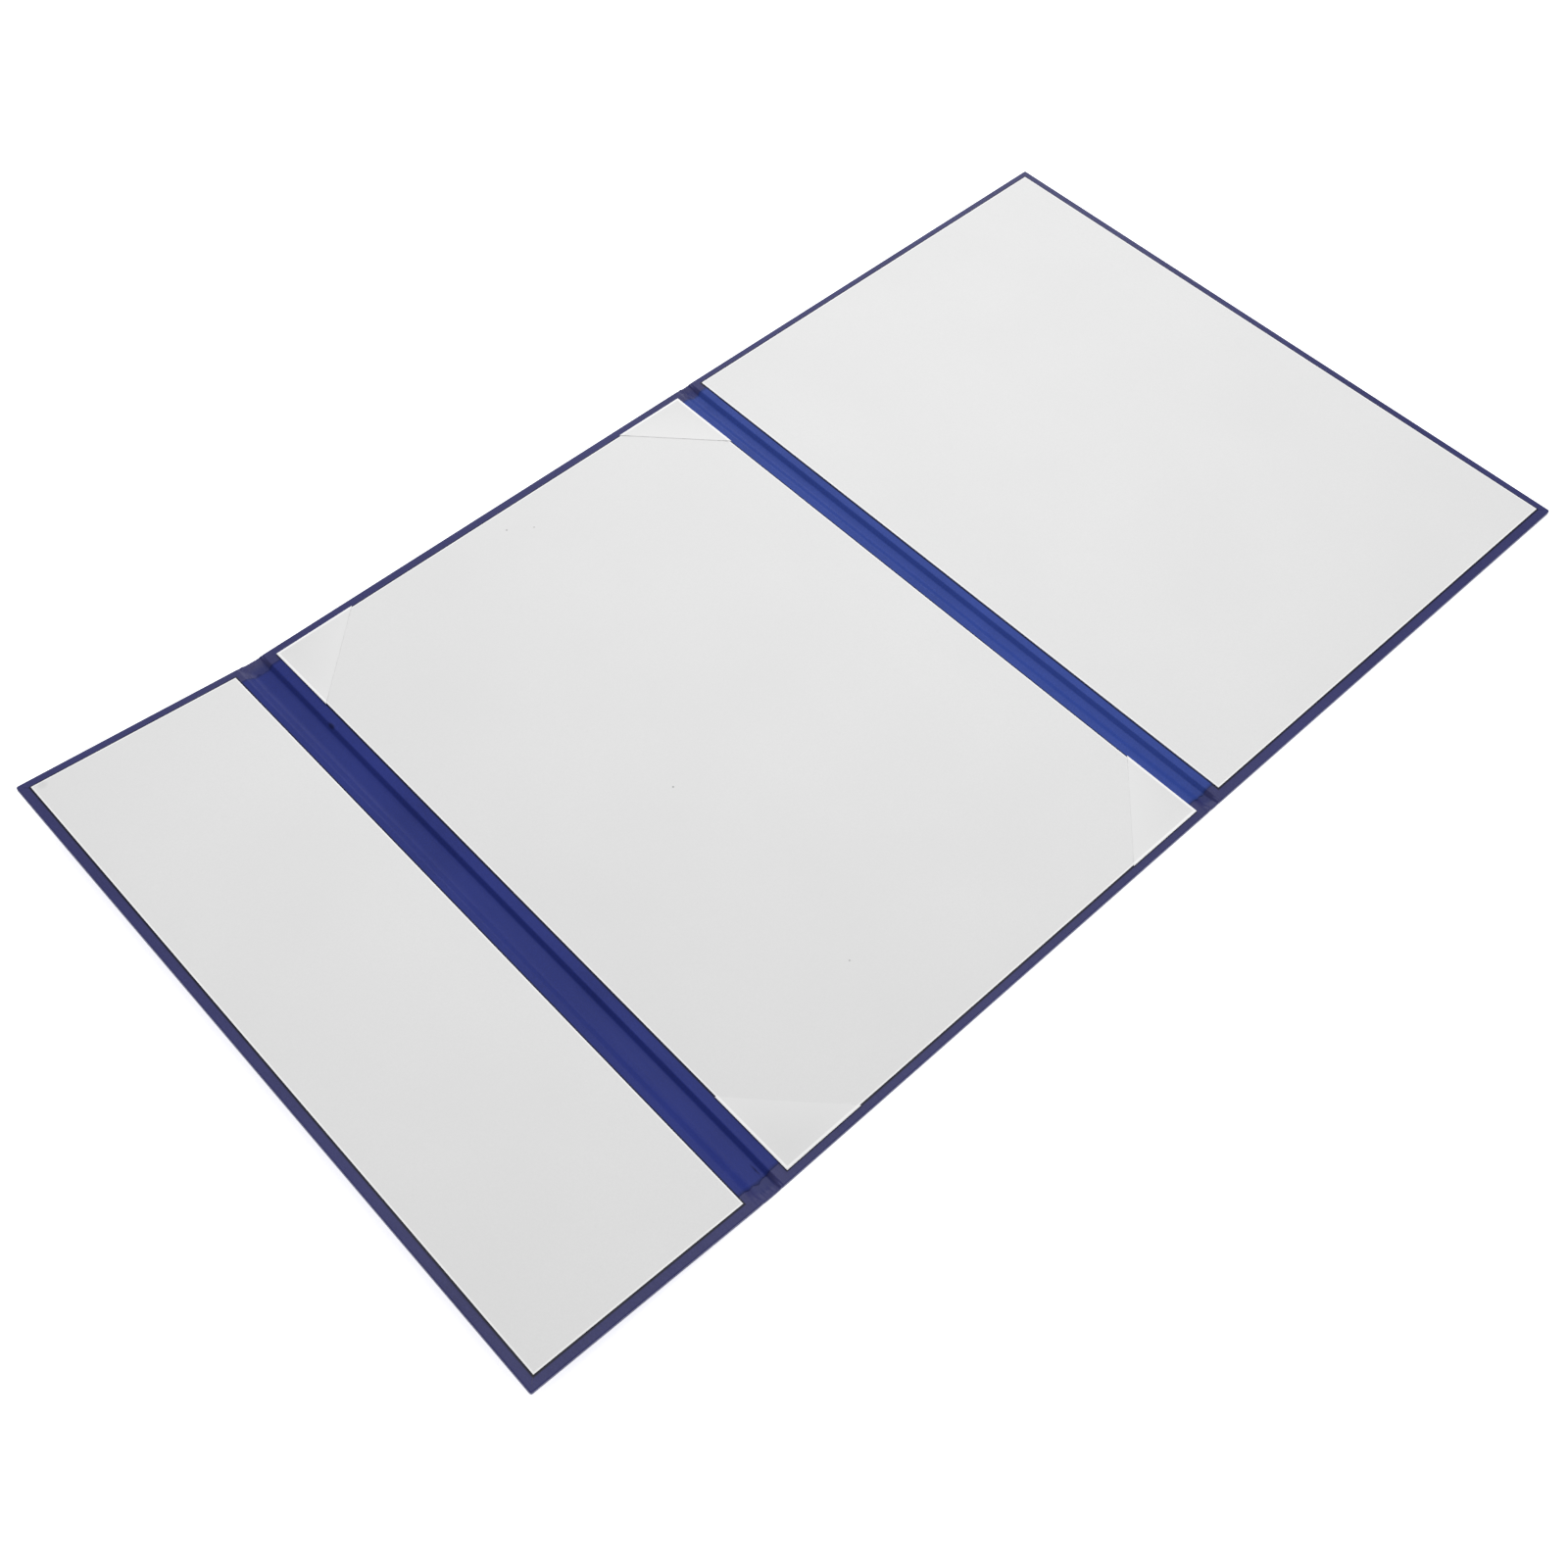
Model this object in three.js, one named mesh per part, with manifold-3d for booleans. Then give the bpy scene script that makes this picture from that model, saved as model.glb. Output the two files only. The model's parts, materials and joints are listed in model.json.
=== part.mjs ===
// Three-panel diploma cover for an A4 sheet, lying open with its inner side up.
// Millimetres. X runs across the open cover from the closing flap to the front cover, Y along the hinges,
// Z up. The origin is the centre of the middle panel's outer face, which lies on the table.
import * as THREE from 'three';
import { mergeVertices } from 'three/addons/utils/BufferGeometryUtils.js';
import Module from 'manifold-3d';

const wasm = await Module();
wasm.setup();

// Papers and boards, from the outer face inwards
const wrapPaper = 0.15;
const boardThickness = 1.8;
const hingePaper = 0.15;
const pocketPaper = 0.12;
const linerCard = 0.45;
const glueLine = 0.02;

// White liner cards
const linerHeight = 303;
const middleLinerWidth = 216;
const coverLinerWidth = 216.5;
const flapLinerWidth = 89.7;

// How far each hand-laid liner sits off the middle of its panel, along the hinges
const middleLinerDrift = -0.5;
const coverLinerDrift = 0.4;
const flapLinerDrift = 0.1;

// Blue borders left beside the liners
const endMargin = 4;
const flapFreeMargin = 4.25;
const flapHingeMargin = 3.2;
const middleFlapMargin = 4.8;
const middleCoverMargin = 3.6;
const coverHingeMargin = 3.8;
const coverFreeMargin = 4;

// Hinge gaps, from board edge to board edge
const wideGap = 12;
const narrowGap = 8;

// How the papers fold
const turnIn = 15;
const hingeUnderlap = 8;
const hingeEndInset = 7;
const gutterRun = 1.3;
const gutterHeadRadius = 0.4;
const gutterFootRadius = 0.7;
const boardEdgeRadius = 0.3;
const cornerRadius = 0.9;
const mitreSlit = 0.12;
const mitreStart = 2;
const creaseGap = 0.3;
const layRoom = 0.1;
const riserWidth = 0.15;

// Corner pockets, one named leg along each of two liner edges
const pocketFlap = 7;
const pocketProud = 0.5;
const pocketMouth = 0.2;
const pocketFoldRadius = 0.25;
const pockets = {
  pocket_far_left: { sideX: -1, sideY: 1, legX: 36.8, legY: 34 },
  pocket_far_right: { sideX: 1, sideY: 1, legX: 33.8, legY: 35.6 },
  pocket_near_left: { sideX: -1, sideY: -1, legX: 34.8, legY: 36.6 },
  pocket_near_right: { sideX: 1, sideY: -1, legX: 36.4, legY: 35 },
};

// Crease heights let the cover close over the pockets and the flap close over the cover
const closingRoom = 0.36;
const flapRiseDegrees = 6.7;

// Facets of each small fillet
const filletSteps = 3;

// Levels in one flat panel
const boardBottom = wrapPaper + glueLine;
const boardTop = boardBottom + boardThickness;
const bedLevel = boardTop + glueLine;
const gapFloor = wrapPaper + glueLine;
const turnInTop = bedLevel + wrapPaper;
const linerBottom = turnInTop + glueLine;
const hingeOverTurnInTop = linerBottom + hingePaper;
const linerTop = linerBottom + linerCard;
const pocketBottom = hingeOverTurnInTop + glueLine;
const pocketTop = linerTop + pocketMouth + pocketPaper;

// Plan sizes of the panels
const panelHeight = linerHeight + 2 * endMargin;
const turnInInner = panelHeight / 2 - turnIn;
const hingeEnd = panelHeight / 2 - hingeEndInset;
const edgeLap = wrapPaper + glueLine;
const middleWidth = middleFlapMargin + middleLinerWidth + middleCoverMargin;
const flapWidth = flapFreeMargin - edgeLap + flapLinerWidth + flapHingeMargin;
const coverWidth = coverHingeMargin + coverLinerWidth + coverFreeMargin - edgeLap;
const middleLeft = -middleWidth / 2;
const middleRight = middleWidth / 2;
const flapRight = middleLeft - wideGap;
const flapLeft = flapRight - flapWidth;
const coverLeft = middleRight + narrowGap;
const coverRight = coverLeft + coverWidth;

// The creases lie a quarter of the gap in from each board
const wideCreaseMiddle = middleLeft - wideGap / 4;
const wideCreaseFlap = flapRight + wideGap / 4;
const narrowCreaseMiddle = middleRight + narrowGap / 4;
const narrowCreaseCover = coverLeft - narrowGap / 4;

// Closed, the cover's outer face stands at twice its crease height plus half its gap, and so does the flap's
const closedCoverFace = pocketTop + closingRoom + linerTop;
const narrowCreaseHeight = (closedCoverFace - narrowGap / 2) / 2;
const closedFlapFace = closedCoverFace + closingRoom + linerTop;
const wideCreaseHeight = (closedFlapFace - wideGap / 2) / 2;

// Tall enough to reach past every layer, and how far a cutter runs out past what it cuts
const clearOfAll = 5;
const cutBeyond = 1;

// Corner of an outline with the radius it is rounded to
function corner(u, v, radius = 0) {
  return { u, v, radius };
}

// Moves an open line of corners to its left by a distance, joining the moved edges where they meet.
// A corner that turns right lies on the outside and its radius grows; one that turns left shrinks.
function offsetLine(corners, distance) {
  const edges = corners.slice(1).map((end, i) => {
    const start = corners[i];
    const length = Math.hypot(end.u - start.u, end.v - start.v);
    return { du: (end.u - start.u) / length, dv: (end.v - start.v) / length };
  });
  return corners.map((point, i) => {
    const before = edges[Math.max(i - 1, 0)];
    const after = edges[Math.min(i, edges.length - 1)];
    const turn = before.du * after.dv - before.dv * after.du;
    const spread = 1 + before.du * after.du + before.dv * after.dv;
    const radius = point.radius === 0 ? 0 : point.radius - Math.sign(turn) * distance;
    return corner(
      point.u - (distance * (before.dv + after.dv)) / spread,
      point.v + (distance * (before.du + after.du)) / spread,
      radius,
    );
  });
}

// Replaces each rounded corner by points on its fillet arc
function rounded(corners, closed = false) {
  const points = [];
  const count = corners.length;
  corners.forEach((point, i) => {
    const isEnd = !closed && (i === 0 || i === count - 1);
    if (isEnd || point.radius <= 0) {
      points.push([point.u, point.v]);
      return;
    }
    const before = corners[(i - 1 + count) % count];
    const after = corners[(i + 1) % count];
    const inAngle = Math.atan2(point.v - before.v, point.u - before.u);
    const outAngle = Math.atan2(after.v - point.v, after.u - point.u);
    const turn = Math.atan2(Math.sin(outAngle - inAngle), Math.cos(outAngle - inAngle));
    const setback = point.radius * Math.tan(Math.abs(turn) / 2);
    const startU = point.u - setback * Math.cos(inAngle);
    const startV = point.v - setback * Math.sin(inAngle);
    const side = Math.sign(turn);
    const centreU = startU - side * point.radius * Math.sin(inAngle);
    const centreV = startV + side * point.radius * Math.cos(inAngle);
    for (let step = 0; step <= filletSteps; step += 1) {
      const angle = inAngle + (turn * step) / filletSteps;
      points.push([
        centreU + side * point.radius * Math.sin(angle),
        centreV - side * point.radius * Math.cos(angle),
      ]);
    }
  });
  return points;
}

// Rectangle with the same fillet on all four corners
function roundedRectangle(lowU, highU, lowV, highV, radius) {
  return rounded([
    corner(lowU, lowV, radius),
    corner(highU, lowV, radius),
    corner(highU, highV, radius),
    corner(lowU, highV, radius),
  ], true);
}

// Closed solid from a three.js geometry
function solidOf(geometry) {
  geometry.deleteAttribute('normal');
  geometry.deleteAttribute('uv');
  const merged = mergeVertices(geometry, 1e-6);
  return new wasm.Manifold(new wasm.Mesh({
    numProp: 3,
    vertProperties: new Float32Array(merged.attributes.position.array),
    triVerts: new Uint32Array(merged.index.array),
  }));
}

// Extrudes an outline and lays its two directions and its depth along the given axes
function extruded(points, depth, axisU, axisV, axisDepth, start) {
  const shape = new THREE.Shape(points.map(([u, v]) => new THREE.Vector2(u, v)));
  const geometry = new THREE.ExtrudeGeometry(shape, { depth, bevelEnabled: false });
  geometry.applyMatrix4(new THREE.Matrix4().makeBasis(axisU, axisV, axisDepth));
  geometry.translate(start.x, start.y, start.z);
  return solidOf(geometry);
}

const unitX = new THREE.Vector3(1, 0, 0);
const unitY = new THREE.Vector3(0, 1, 0);
const unitZ = new THREE.Vector3(0, 0, 1);

// An XZ section carried along the hinges
function alongY(points, lowY, highY) {
  const start = new THREE.Vector3(0, highY, 0);
  return extruded(points, highY - lowY, unitX, unitZ, unitY.clone().negate(), start);
}

// A YZ section carried across the cover
function alongX(points, lowX, highX) {
  return extruded(points, highX - lowX, unitY, unitZ, unitX, new THREE.Vector3(lowX, 0, 0));
}

// An XY outline carried upwards
function alongZ(points, lowZ, highZ) {
  return extruded(points, highZ - lowZ, unitX, unitY, unitZ, new THREE.Vector3(0, 0, lowZ));
}

// Plain block between two values on each axis, given in either order
function block(x0, x1, y0, y1, z0, z1) {
  const box = new THREE.BoxGeometry(Math.abs(x1 - x0), Math.abs(y1 - y0), Math.abs(z1 - z0));
  box.translate((x0 + x1) / 2, (y0 + y1) / 2, (z0 + z1) / 2);
  return solidOf(box);
}

// Thin upright blade on the diagonal of a corner, from the start distance to past the turned-in papers
function mitreBlade(cornerX, cornerY, sideX, sideY, startDistance, reach, lowZ, highZ) {
  const length = reach * Math.SQRT2 - startDistance;
  const blade = new THREE.BoxGeometry(length, mitreSlit, highZ - lowZ);
  const middle = (startDistance + length / 2) / Math.SQRT2;
  blade.rotateZ(Math.atan2(-sideY, -sideX));
  blade.translate(cornerX - sideX * middle, cornerY - sideY * middle, (lowZ + highZ) / 2);
  return solidOf(blade);
}

// The line over a hinge gap's edge: along the gap's floor, up the gutter wall and onto the board's bed.
// side is +1 where the board lies on the +X side of the gap.
function gutterLine(boardEdge, creaseEnd, side) {
  return [
    corner(creaseEnd, gapFloor),
    corner(boardEdge - side * gutterRun, gapFloor, gutterFootRadius),
    corner(boardEdge, bedLevel, gutterHeadRadius),
  ];
}

// Section of a panel's wrapped space, grown by a distance. A side with a crease meets a hinge gap.
// reach lengthens the ends at the creases, so that a cutter runs out through them.
function panelSection(panel, grow, reach) {
  const { left, right, creaseLeft, creaseRight } = panel;
  const overLeft = creaseLeft === undefined
    ? [
      corner(left - glueLine, wrapPaper, boardEdgeRadius),
      corner(left - glueLine, bedLevel, boardEdgeRadius),
    ]
    : gutterLine(left, creaseLeft - reach, 1);
  const overRight = creaseRight === undefined
    ? [
      corner(right + glueLine, bedLevel, boardEdgeRadius),
      corner(right + glueLine, wrapPaper, boardEdgeRadius),
    ]
    : gutterLine(right, creaseRight + reach, -1).reverse();
  if (creaseLeft === undefined) {
    const path = [corner(creaseRight + reach, wrapPaper), ...overLeft, ...overRight];
    return rounded(offsetLine(path, grow));
  }
  if (creaseRight === undefined) {
    const path = [...overLeft, ...overRight, corner(creaseLeft - reach, wrapPaper)];
    return rounded(offsetLine(path, grow));
  }
  const over = offsetLine([...overLeft, ...overRight], grow);
  const under = offsetLine([
    corner(creaseRight + reach, wrapPaper),
    corner(creaseLeft - reach, wrapPaper),
  ], grow);
  return [...rounded(over), ...rounded(under)];
}

// Solid of a panel section with its long edges rounded and its free corners blunted, grown by a distance
function panelBlock(panel, grow, reach) {
  const halfHeight = panelHeight / 2 - wrapPaper + grow;
  const low = wrapPaper - grow;
  const high = bedLevel + grow;
  const lowX = (panel.creaseLeft ?? panel.left - edgeLap) - reach;
  const highX = (panel.creaseRight ?? panel.right + edgeLap) + reach;
  const section = alongY(panelSection(panel, grow, reach), -halfHeight, halfHeight);
  const edges = roundedRectangle(-halfHeight, halfHeight, low, high, boardEdgeRadius + grow);
  const plan = freePlan(panel, halfHeight, cornerRadius - wrapPaper + grow, grow, reach);
  return section
    .intersect(alongX(edges, lowX - clearOfAll, highX + clearOfAll))
    .intersect(alongZ(plan, -clearOfAll, clearOfAll));
}

// Plan outline with blunt corners on the free side only
function freePlan(panel, halfHeight, radius, grow, reach) {
  const freeLeft = panel.creaseLeft === undefined;
  const freeRight = panel.creaseRight === undefined;
  const lowX = freeLeft ? panel.left - glueLine - grow : panel.creaseLeft - reach - clearOfAll;
  const highX = freeRight ? panel.right + glueLine + grow : panel.creaseRight + reach + clearOfAll;
  const leftRadius = freeLeft ? radius : 0;
  const rightRadius = freeRight ? radius : 0;
  return rounded([
    corner(lowX, -halfHeight, leftRadius),
    corner(highX, -halfHeight, rightRadius),
    corner(highX, halfHeight, rightRadius),
    corner(lowX, halfHeight, leftRadius),
  ], true);
}

// The outer paper of a panel: under the board, round its edges and turned in over them, with the corners
// mitred. Between the turned-in strips only the sheet under the board is left.
function panelWrap(panel) {
  const { left, right, creaseLeft, creaseRight } = panel;
  const fieldLeft = creaseLeft === undefined ? left - edgeLap + turnIn : creaseLeft - cutBeyond;
  const fieldRight = creaseRight === undefined ? right + edgeLap - turnIn : creaseRight + cutBeyond;
  const field = block(fieldLeft, fieldRight, -turnInInner, turnInInner, wrapPaper, clearOfAll);
  let wrap = panelBlock(panel, wrapPaper, 0)
    .subtract(panelBlock(panel, 0, cutBeyond))
    .subtract(field);
  const free = [];
  if (creaseLeft === undefined) free.push([left - edgeLap, -1]);
  if (creaseRight === undefined) free.push([right + edgeLap, 1]);
  free.forEach(([edge, sideX]) => {
    [-1, 1].forEach((sideY) => {
      wrap = wrap.subtract(mitreBlade(
        edge, (sideY * panelHeight) / 2, sideX, sideY,
        mitreStart, turnIn + cutBeyond, boardTop, clearOfAll,
      ));
    });
  });
  return wrap;
}

// The greyboard inside a panel
function panelBoard(panel) {
  const halfHeight = panelHeight / 2 - edgeLap;
  const ends = roundedRectangle(-halfHeight, halfHeight, boardBottom, boardTop, boardEdgeRadius);
  const sides = roundedRectangle(panel.left, panel.right, boardBottom, boardTop, boardEdgeRadius);
  const bluntRadius = cornerRadius - edgeLap;
  const plan = freePlan(
    { ...panel, left: panel.left + glueLine, right: panel.right - glueLine },
    halfHeight, bluntRadius, 0, 0,
  );
  return alongY(sides, -halfHeight, halfHeight)
    .intersect(alongX(ends, panel.left - cutBeyond, panel.right + cutBeyond))
    .intersect(alongZ(plan, -clearOfAll, clearOfAll));
}

// The sheet between the two creases of a hinge gap, folded back on itself at both ends
function spineWrap(lowX, highX) {
  const foldedTop = gapFloor + wrapPaper;
  const half = panelHeight / 2;
  const radius = foldedTop / 2 - glueLine;
  const outer = alongX(roundedRectangle(-half, half, 0, foldedTop, radius), lowX, highX);
  const cutLow = lowX - cutBeyond;
  const cutHigh = highX + cutBeyond;
  const between = block(cutLow, cutHigh, -half + edgeLap, half - edgeLap, wrapPaper, gapFloor);
  const field = block(cutLow, cutHigh, -turnInInner, turnInInner, wrapPaper, clearOfAll);
  return outer.subtract(between).subtract(field);
}

// A hinge paper laid over a line: on the bare bed between the turned-in strips, and one paper higher
// over them, with a short riser where it steps up
function hingeStrip(line) {
  const band = (low, high) => [
    ...rounded(offsetLine(line, low)),
    ...rounded(offsetLine(line, high)).reverse(),
  ];
  const stepY = turnInInner - layRoom;
  const raised = wrapPaper + glueLine;
  let strip = alongY(band(0, hingePaper), -stepY, stepY);
  [-1, 1].forEach((side) => {
    const riser = [side * (stepY - riserWidth), side * stepY].sort((a, b) => a - b);
    const over = [side * (stepY - riserWidth), side * hingeEnd].sort((a, b) => a - b);
    strip = strip
      .add(alongY(band(0, raised + hingePaper), ...riser))
      .add(alongY(band(raised, raised + hingePaper), ...over));
  });
  return strip;
}

// The hinge paper on one board: along the gap's floor, up the gutter and under the liner's edge
function boardHingeStrip(boardEdge, creaseEnd, side, margin) {
  const tail = corner(boardEdge + side * (margin + hingeUnderlap), bedLevel);
  const line = [...gutterLine(boardEdge, creaseEnd, side), tail];
  return hingeStrip(side > 0 ? line : line.reverse());
}

// The hinge paper between the two creases of a gap
function spineHingeStrip(lowX, highX) {
  return hingeStrip([corner(lowX, gapFloor), corner(highX, gapFloor)]);
}

// A liner card, flat on top. Its underside is pressed down onto the board inside the turned-in strips
// and hinge papers, and is thinned over the hinge papers' ends.
function linerCardSolid(liner) {
  const { lowX, highX, drift, hingeLeft, hingeRight, wrapLeft, wrapRight } = liner;
  const lowY = -linerHeight / 2 + drift;
  const highY = linerHeight / 2 + drift;
  const bedLeft = (hingeLeft ?? wrapLeft) + layRoom;
  const bedRight = (hingeRight ?? wrapRight) - layRoom;
  const bedY = turnInInner - layRoom - riserWidth - layRoom;
  let card = block(lowX, highX, lowY, highY, linerBottom, linerTop)
    .add(block(bedLeft, bedRight, -bedY, bedY, bedLevel, linerBottom + glueLine));
  const reliefTop = hingeOverTurnInTop + glueLine;
  [-1, 1].forEach((side) => {
    const nearY = side * bedY;
    const farY = side * (hingeEnd + layRoom);
    if (hingeLeft !== undefined) {
      card = card.subtract(
        block(lowX - cutBeyond, hingeLeft + layRoom, nearY, farY, boardTop, reliefTop),
      );
    }
    if (hingeRight !== undefined) {
      card = card.subtract(
        block(hingeRight - layRoom, highX + cutBeyond, nearY, farY, boardTop, reliefTop),
      );
    }
  });
  return card;
}

// Plan triangle of a corner pocket, from past the liner's corner to the diagonal between its legs
function pocketTriangle(cornerX, cornerY, pocket) {
  const { sideX, sideY, legX, legY } = pocket;
  const outX = cornerX + sideX * clearOfAll;
  const outY = cornerY + sideY * clearOfAll;
  return [
    [outX, outY],
    [cornerX - sideX * legX, outY],
    [cornerX - sideX * legX, cornerY],
    [cornerX, cornerY - sideY * legY],
    [outX, cornerY - sideY * legY],
  ];
}

// Block with its edges along both legs of a pocket rounded as a paper fold is
function foldedBlock(cornerX, cornerY, pocket, grow, lowZ, highZ, radius) {
  const { sideX, sideY, legX, legY } = pocket;
  const spanX = [cornerX + sideX * grow, cornerX - sideX * (legX + clearOfAll)].sort((a, b) => a - b);
  const spanY = [cornerY + sideY * grow, cornerY - sideY * (legY + clearOfAll)].sort((a, b) => a - b);
  return alongY(roundedRectangle(...spanX, lowZ, highZ, radius), ...spanY)
    .intersect(alongX(roundedRectangle(...spanY, lowZ, highZ, radius), ...spanX));
}

// A paper pocket folded round a corner of the middle liner and tucked behind it
function cornerPocket(cornerX, cornerY, pocket) {
  const { sideX, sideY, legX, legY } = pocket;
  const outer = foldedBlock(
    cornerX, cornerY, pocket, pocketProud, pocketBottom, pocketTop, pocketFoldRadius,
  );
  const inside = foldedBlock(
    cornerX, cornerY, pocket, pocketProud - pocketPaper,
    pocketBottom + pocketPaper, pocketTop - pocketPaper, pocketFoldRadius - pocketPaper,
  );
  const triangle = alongZ(pocketTriangle(cornerX, cornerY, pocket), 0, clearOfAll);
  const behind = block(
    cornerX - sideX * pocketFlap, cornerX - sideX * (legX + clearOfAll),
    cornerY - sideY * pocketFlap, cornerY - sideY * (legY + clearOfAll),
    0, pocketBottom + 2 * pocketPaper,
  );
  const mitre = mitreBlade(
    cornerX, cornerY, sideX, sideY,
    mitreStart, pocketFlap + cutBeyond, 0, pocketBottom + 2 * pocketPaper,
  );
  return outer.intersect(triangle).subtract(inside).subtract(behind).subtract(mitre);
}

// Room in the liner's underside for a pocket's tucked flaps
function pocketRelief(cornerX, cornerY, pocket) {
  const { sideX, sideY, legX, legY } = pocket;
  const top = pocketBottom + pocketPaper + glueLine;
  const width = pocketFlap + layRoom;
  const outX = cornerX + sideX * cutBeyond;
  const outY = cornerY + sideY * cutBeyond;
  const alongLegX = block(
    outX, cornerX - sideX * (legX + layRoom), outY, cornerY - sideY * width, boardTop, top,
  );
  const alongLegY = block(
    outX, cornerX - sideX * width, outY, cornerY - sideY * (legY + layRoom), boardTop, top,
  );
  return alongLegX.add(alongLegY);
}

// Named mesh from a solid, with its finish
function piece(name, solid, finish) {
  const { vertProperties, triVerts, numProp } = solid.getMesh();
  const geometry = new THREE.BufferGeometry();
  const positions = new Float32Array((vertProperties.length / numProp) * 3);
  for (let i = 0; i < positions.length / 3; i += 1) {
    positions.set(vertProperties.subarray(i * numProp, i * numProp + 3), i * 3);
  }
  geometry.setAttribute('position', new THREE.BufferAttribute(positions, 3));
  geometry.setIndex(new THREE.BufferAttribute(new Uint32Array(triVerts), 1));
  geometry.computeVertexNormals();
  const mesh = new THREE.Mesh(geometry, new THREE.MeshStandardMaterial(finish));
  mesh.name = name;
  return mesh;
}

// Finishes
const coverPaper = { color: 0x3a3f7d, roughness: 0.42, metalness: 0 };
const gutterPaper = { color: 0x33408c, roughness: 0.45, metalness: 0 };
const whiteCard = { color: 0xe6e6e6, roughness: 0.6, metalness: 0 };
const whitePaper = { color: 0xefefef, roughness: 0.65, metalness: 0 };
const greyBoard = { color: 0x8f8b84, roughness: 0.95, metalness: 0 };

// Panels, with the cut ends of their papers half a crease gap short of each crease
const halfCrease = creaseGap / 2;
const flapPanel = { left: flapLeft, right: flapRight, creaseRight: wideCreaseFlap - halfCrease };
const middlePanel = {
  left: middleLeft,
  right: middleRight,
  creaseLeft: wideCreaseMiddle + halfCrease,
  creaseRight: narrowCreaseMiddle - halfCrease,
};
const coverPanel = { left: coverLeft, right: coverRight, creaseLeft: narrowCreaseCover + halfCrease };
const wideSpine = [wideCreaseFlap + halfCrease, wideCreaseMiddle - halfCrease];
const narrowSpine = [narrowCreaseMiddle + halfCrease, narrowCreaseCover - halfCrease];

// Liners, with the inner ends of the hinge papers and turned-in strips that they cover
const flapLiner = {
  lowX: flapRight - flapHingeMargin - flapLinerWidth,
  highX: flapRight - flapHingeMargin,
  drift: flapLinerDrift,
  wrapLeft: flapLeft - edgeLap + turnIn,
  hingeRight: flapRight - flapHingeMargin - hingeUnderlap,
};
const middleLiner = {
  lowX: middleLeft + middleFlapMargin,
  highX: middleRight - middleCoverMargin,
  drift: middleLinerDrift,
  hingeLeft: middleLeft + middleFlapMargin + hingeUnderlap,
  hingeRight: middleRight - middleCoverMargin - hingeUnderlap,
};
const coverLiner = {
  lowX: coverLeft + coverHingeMargin,
  highX: coverLeft + coverHingeMargin + coverLinerWidth,
  drift: coverLinerDrift,
  hingeLeft: coverLeft + coverHingeMargin + hingeUnderlap,
  wrapRight: coverRight + edgeLap - turnIn,
};

// A group that turns about a crease; what it holds is still given in the flat cover's own places
function creaseGroup(creaseX, creaseHeight, degrees) {
  const turned = new THREE.Group();
  turned.position.set(creaseX, 0, creaseHeight);
  turned.rotation.y = THREE.MathUtils.degToRad(degrees);
  const flat = new THREE.Group();
  flat.position.set(-creaseX, 0, -creaseHeight);
  turned.add(flat);
  return { turned, flat };
}

const diplomaCover = new THREE.Group();

// Middle panel with its four pockets
let middleCard = linerCardSolid(middleLiner);
Object.entries(pockets).forEach(([name, pocket]) => {
  const cornerX = pocket.sideX > 0 ? middleLiner.highX : middleLiner.lowX;
  const cornerY = (pocket.sideY * linerHeight) / 2 + middleLinerDrift;
  middleCard = middleCard.subtract(pocketRelief(cornerX, cornerY, pocket));
  diplomaCover.add(piece(name, cornerPocket(cornerX, cornerY, pocket), whitePaper));
});
diplomaCover.add(
  piece('board_middle', panelBoard(middlePanel), greyBoard),
  piece('wrap_middle', panelWrap(middlePanel), coverPaper),
  piece('hinge_wide_middle',
    boardHingeStrip(middleLeft, middlePanel.creaseLeft, 1, middleFlapMargin), gutterPaper),
  piece('hinge_narrow_middle',
    boardHingeStrip(middleRight, middlePanel.creaseRight, -1, middleCoverMargin), gutterPaper),
  piece('liner_middle', middleCard, whiteCard),
);

// Front cover and its spine
diplomaCover.add(
  piece('wrap_spine_narrow', spineWrap(...narrowSpine), coverPaper),
  piece('hinge_narrow_spine', spineHingeStrip(...narrowSpine), gutterPaper),
  piece('board_cover', panelBoard(coverPanel), greyBoard),
  piece('wrap_cover', panelWrap(coverPanel), coverPaper),
  piece('hinge_narrow_cover',
    boardHingeStrip(coverLeft, coverPanel.creaseLeft, 1, coverHingeMargin), gutterPaper),
  piece('liner_cover', linerCardSolid(coverLiner), whiteCard),
);

// Closing flap and its spine, which stand a little raised, half of the rise at each crease
const spineRise = creaseGroup(wideCreaseMiddle, wideCreaseHeight, flapRiseDegrees / 2);
const flapTurn = creaseGroup(wideCreaseFlap, wideCreaseHeight, flapRiseDegrees / 2);
spineRise.flat.add(
  piece('wrap_spine_wide', spineWrap(...wideSpine), coverPaper),
  piece('hinge_wide_spine', spineHingeStrip(...wideSpine), gutterPaper),
  flapTurn.turned,
);
flapTurn.flat.add(
  piece('board_flap', panelBoard(flapPanel), greyBoard),
  piece('wrap_flap', panelWrap(flapPanel), coverPaper),
  piece('hinge_wide_flap',
    boardHingeStrip(flapRight, flapPanel.creaseRight, -1, flapHingeMargin), gutterPaper),
  piece('liner_flap', linerCardSolid(flapLiner), whiteCard),
);
diplomaCover.add(spineRise.turned);

export default diplomaCover;
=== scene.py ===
"""Looks of a three-panel diploma cover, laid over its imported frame.

The cover lies open with its white inner side up: a narrow closing flap, a middle panel with four
corner pockets, and a front cover. Sizes inside the functions are in millimetres, in the frame of
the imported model; the meshes are in metres. Surfaces are laid out for the flat cover, and raised()
then brings the flap up to where it rests.
"""
import json
import math

import bmesh
import bpy
import numpy as np
from bpy.props import FloatProperty, FloatVectorProperty, PointerProperty
from mathutils import Matrix, Vector


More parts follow.
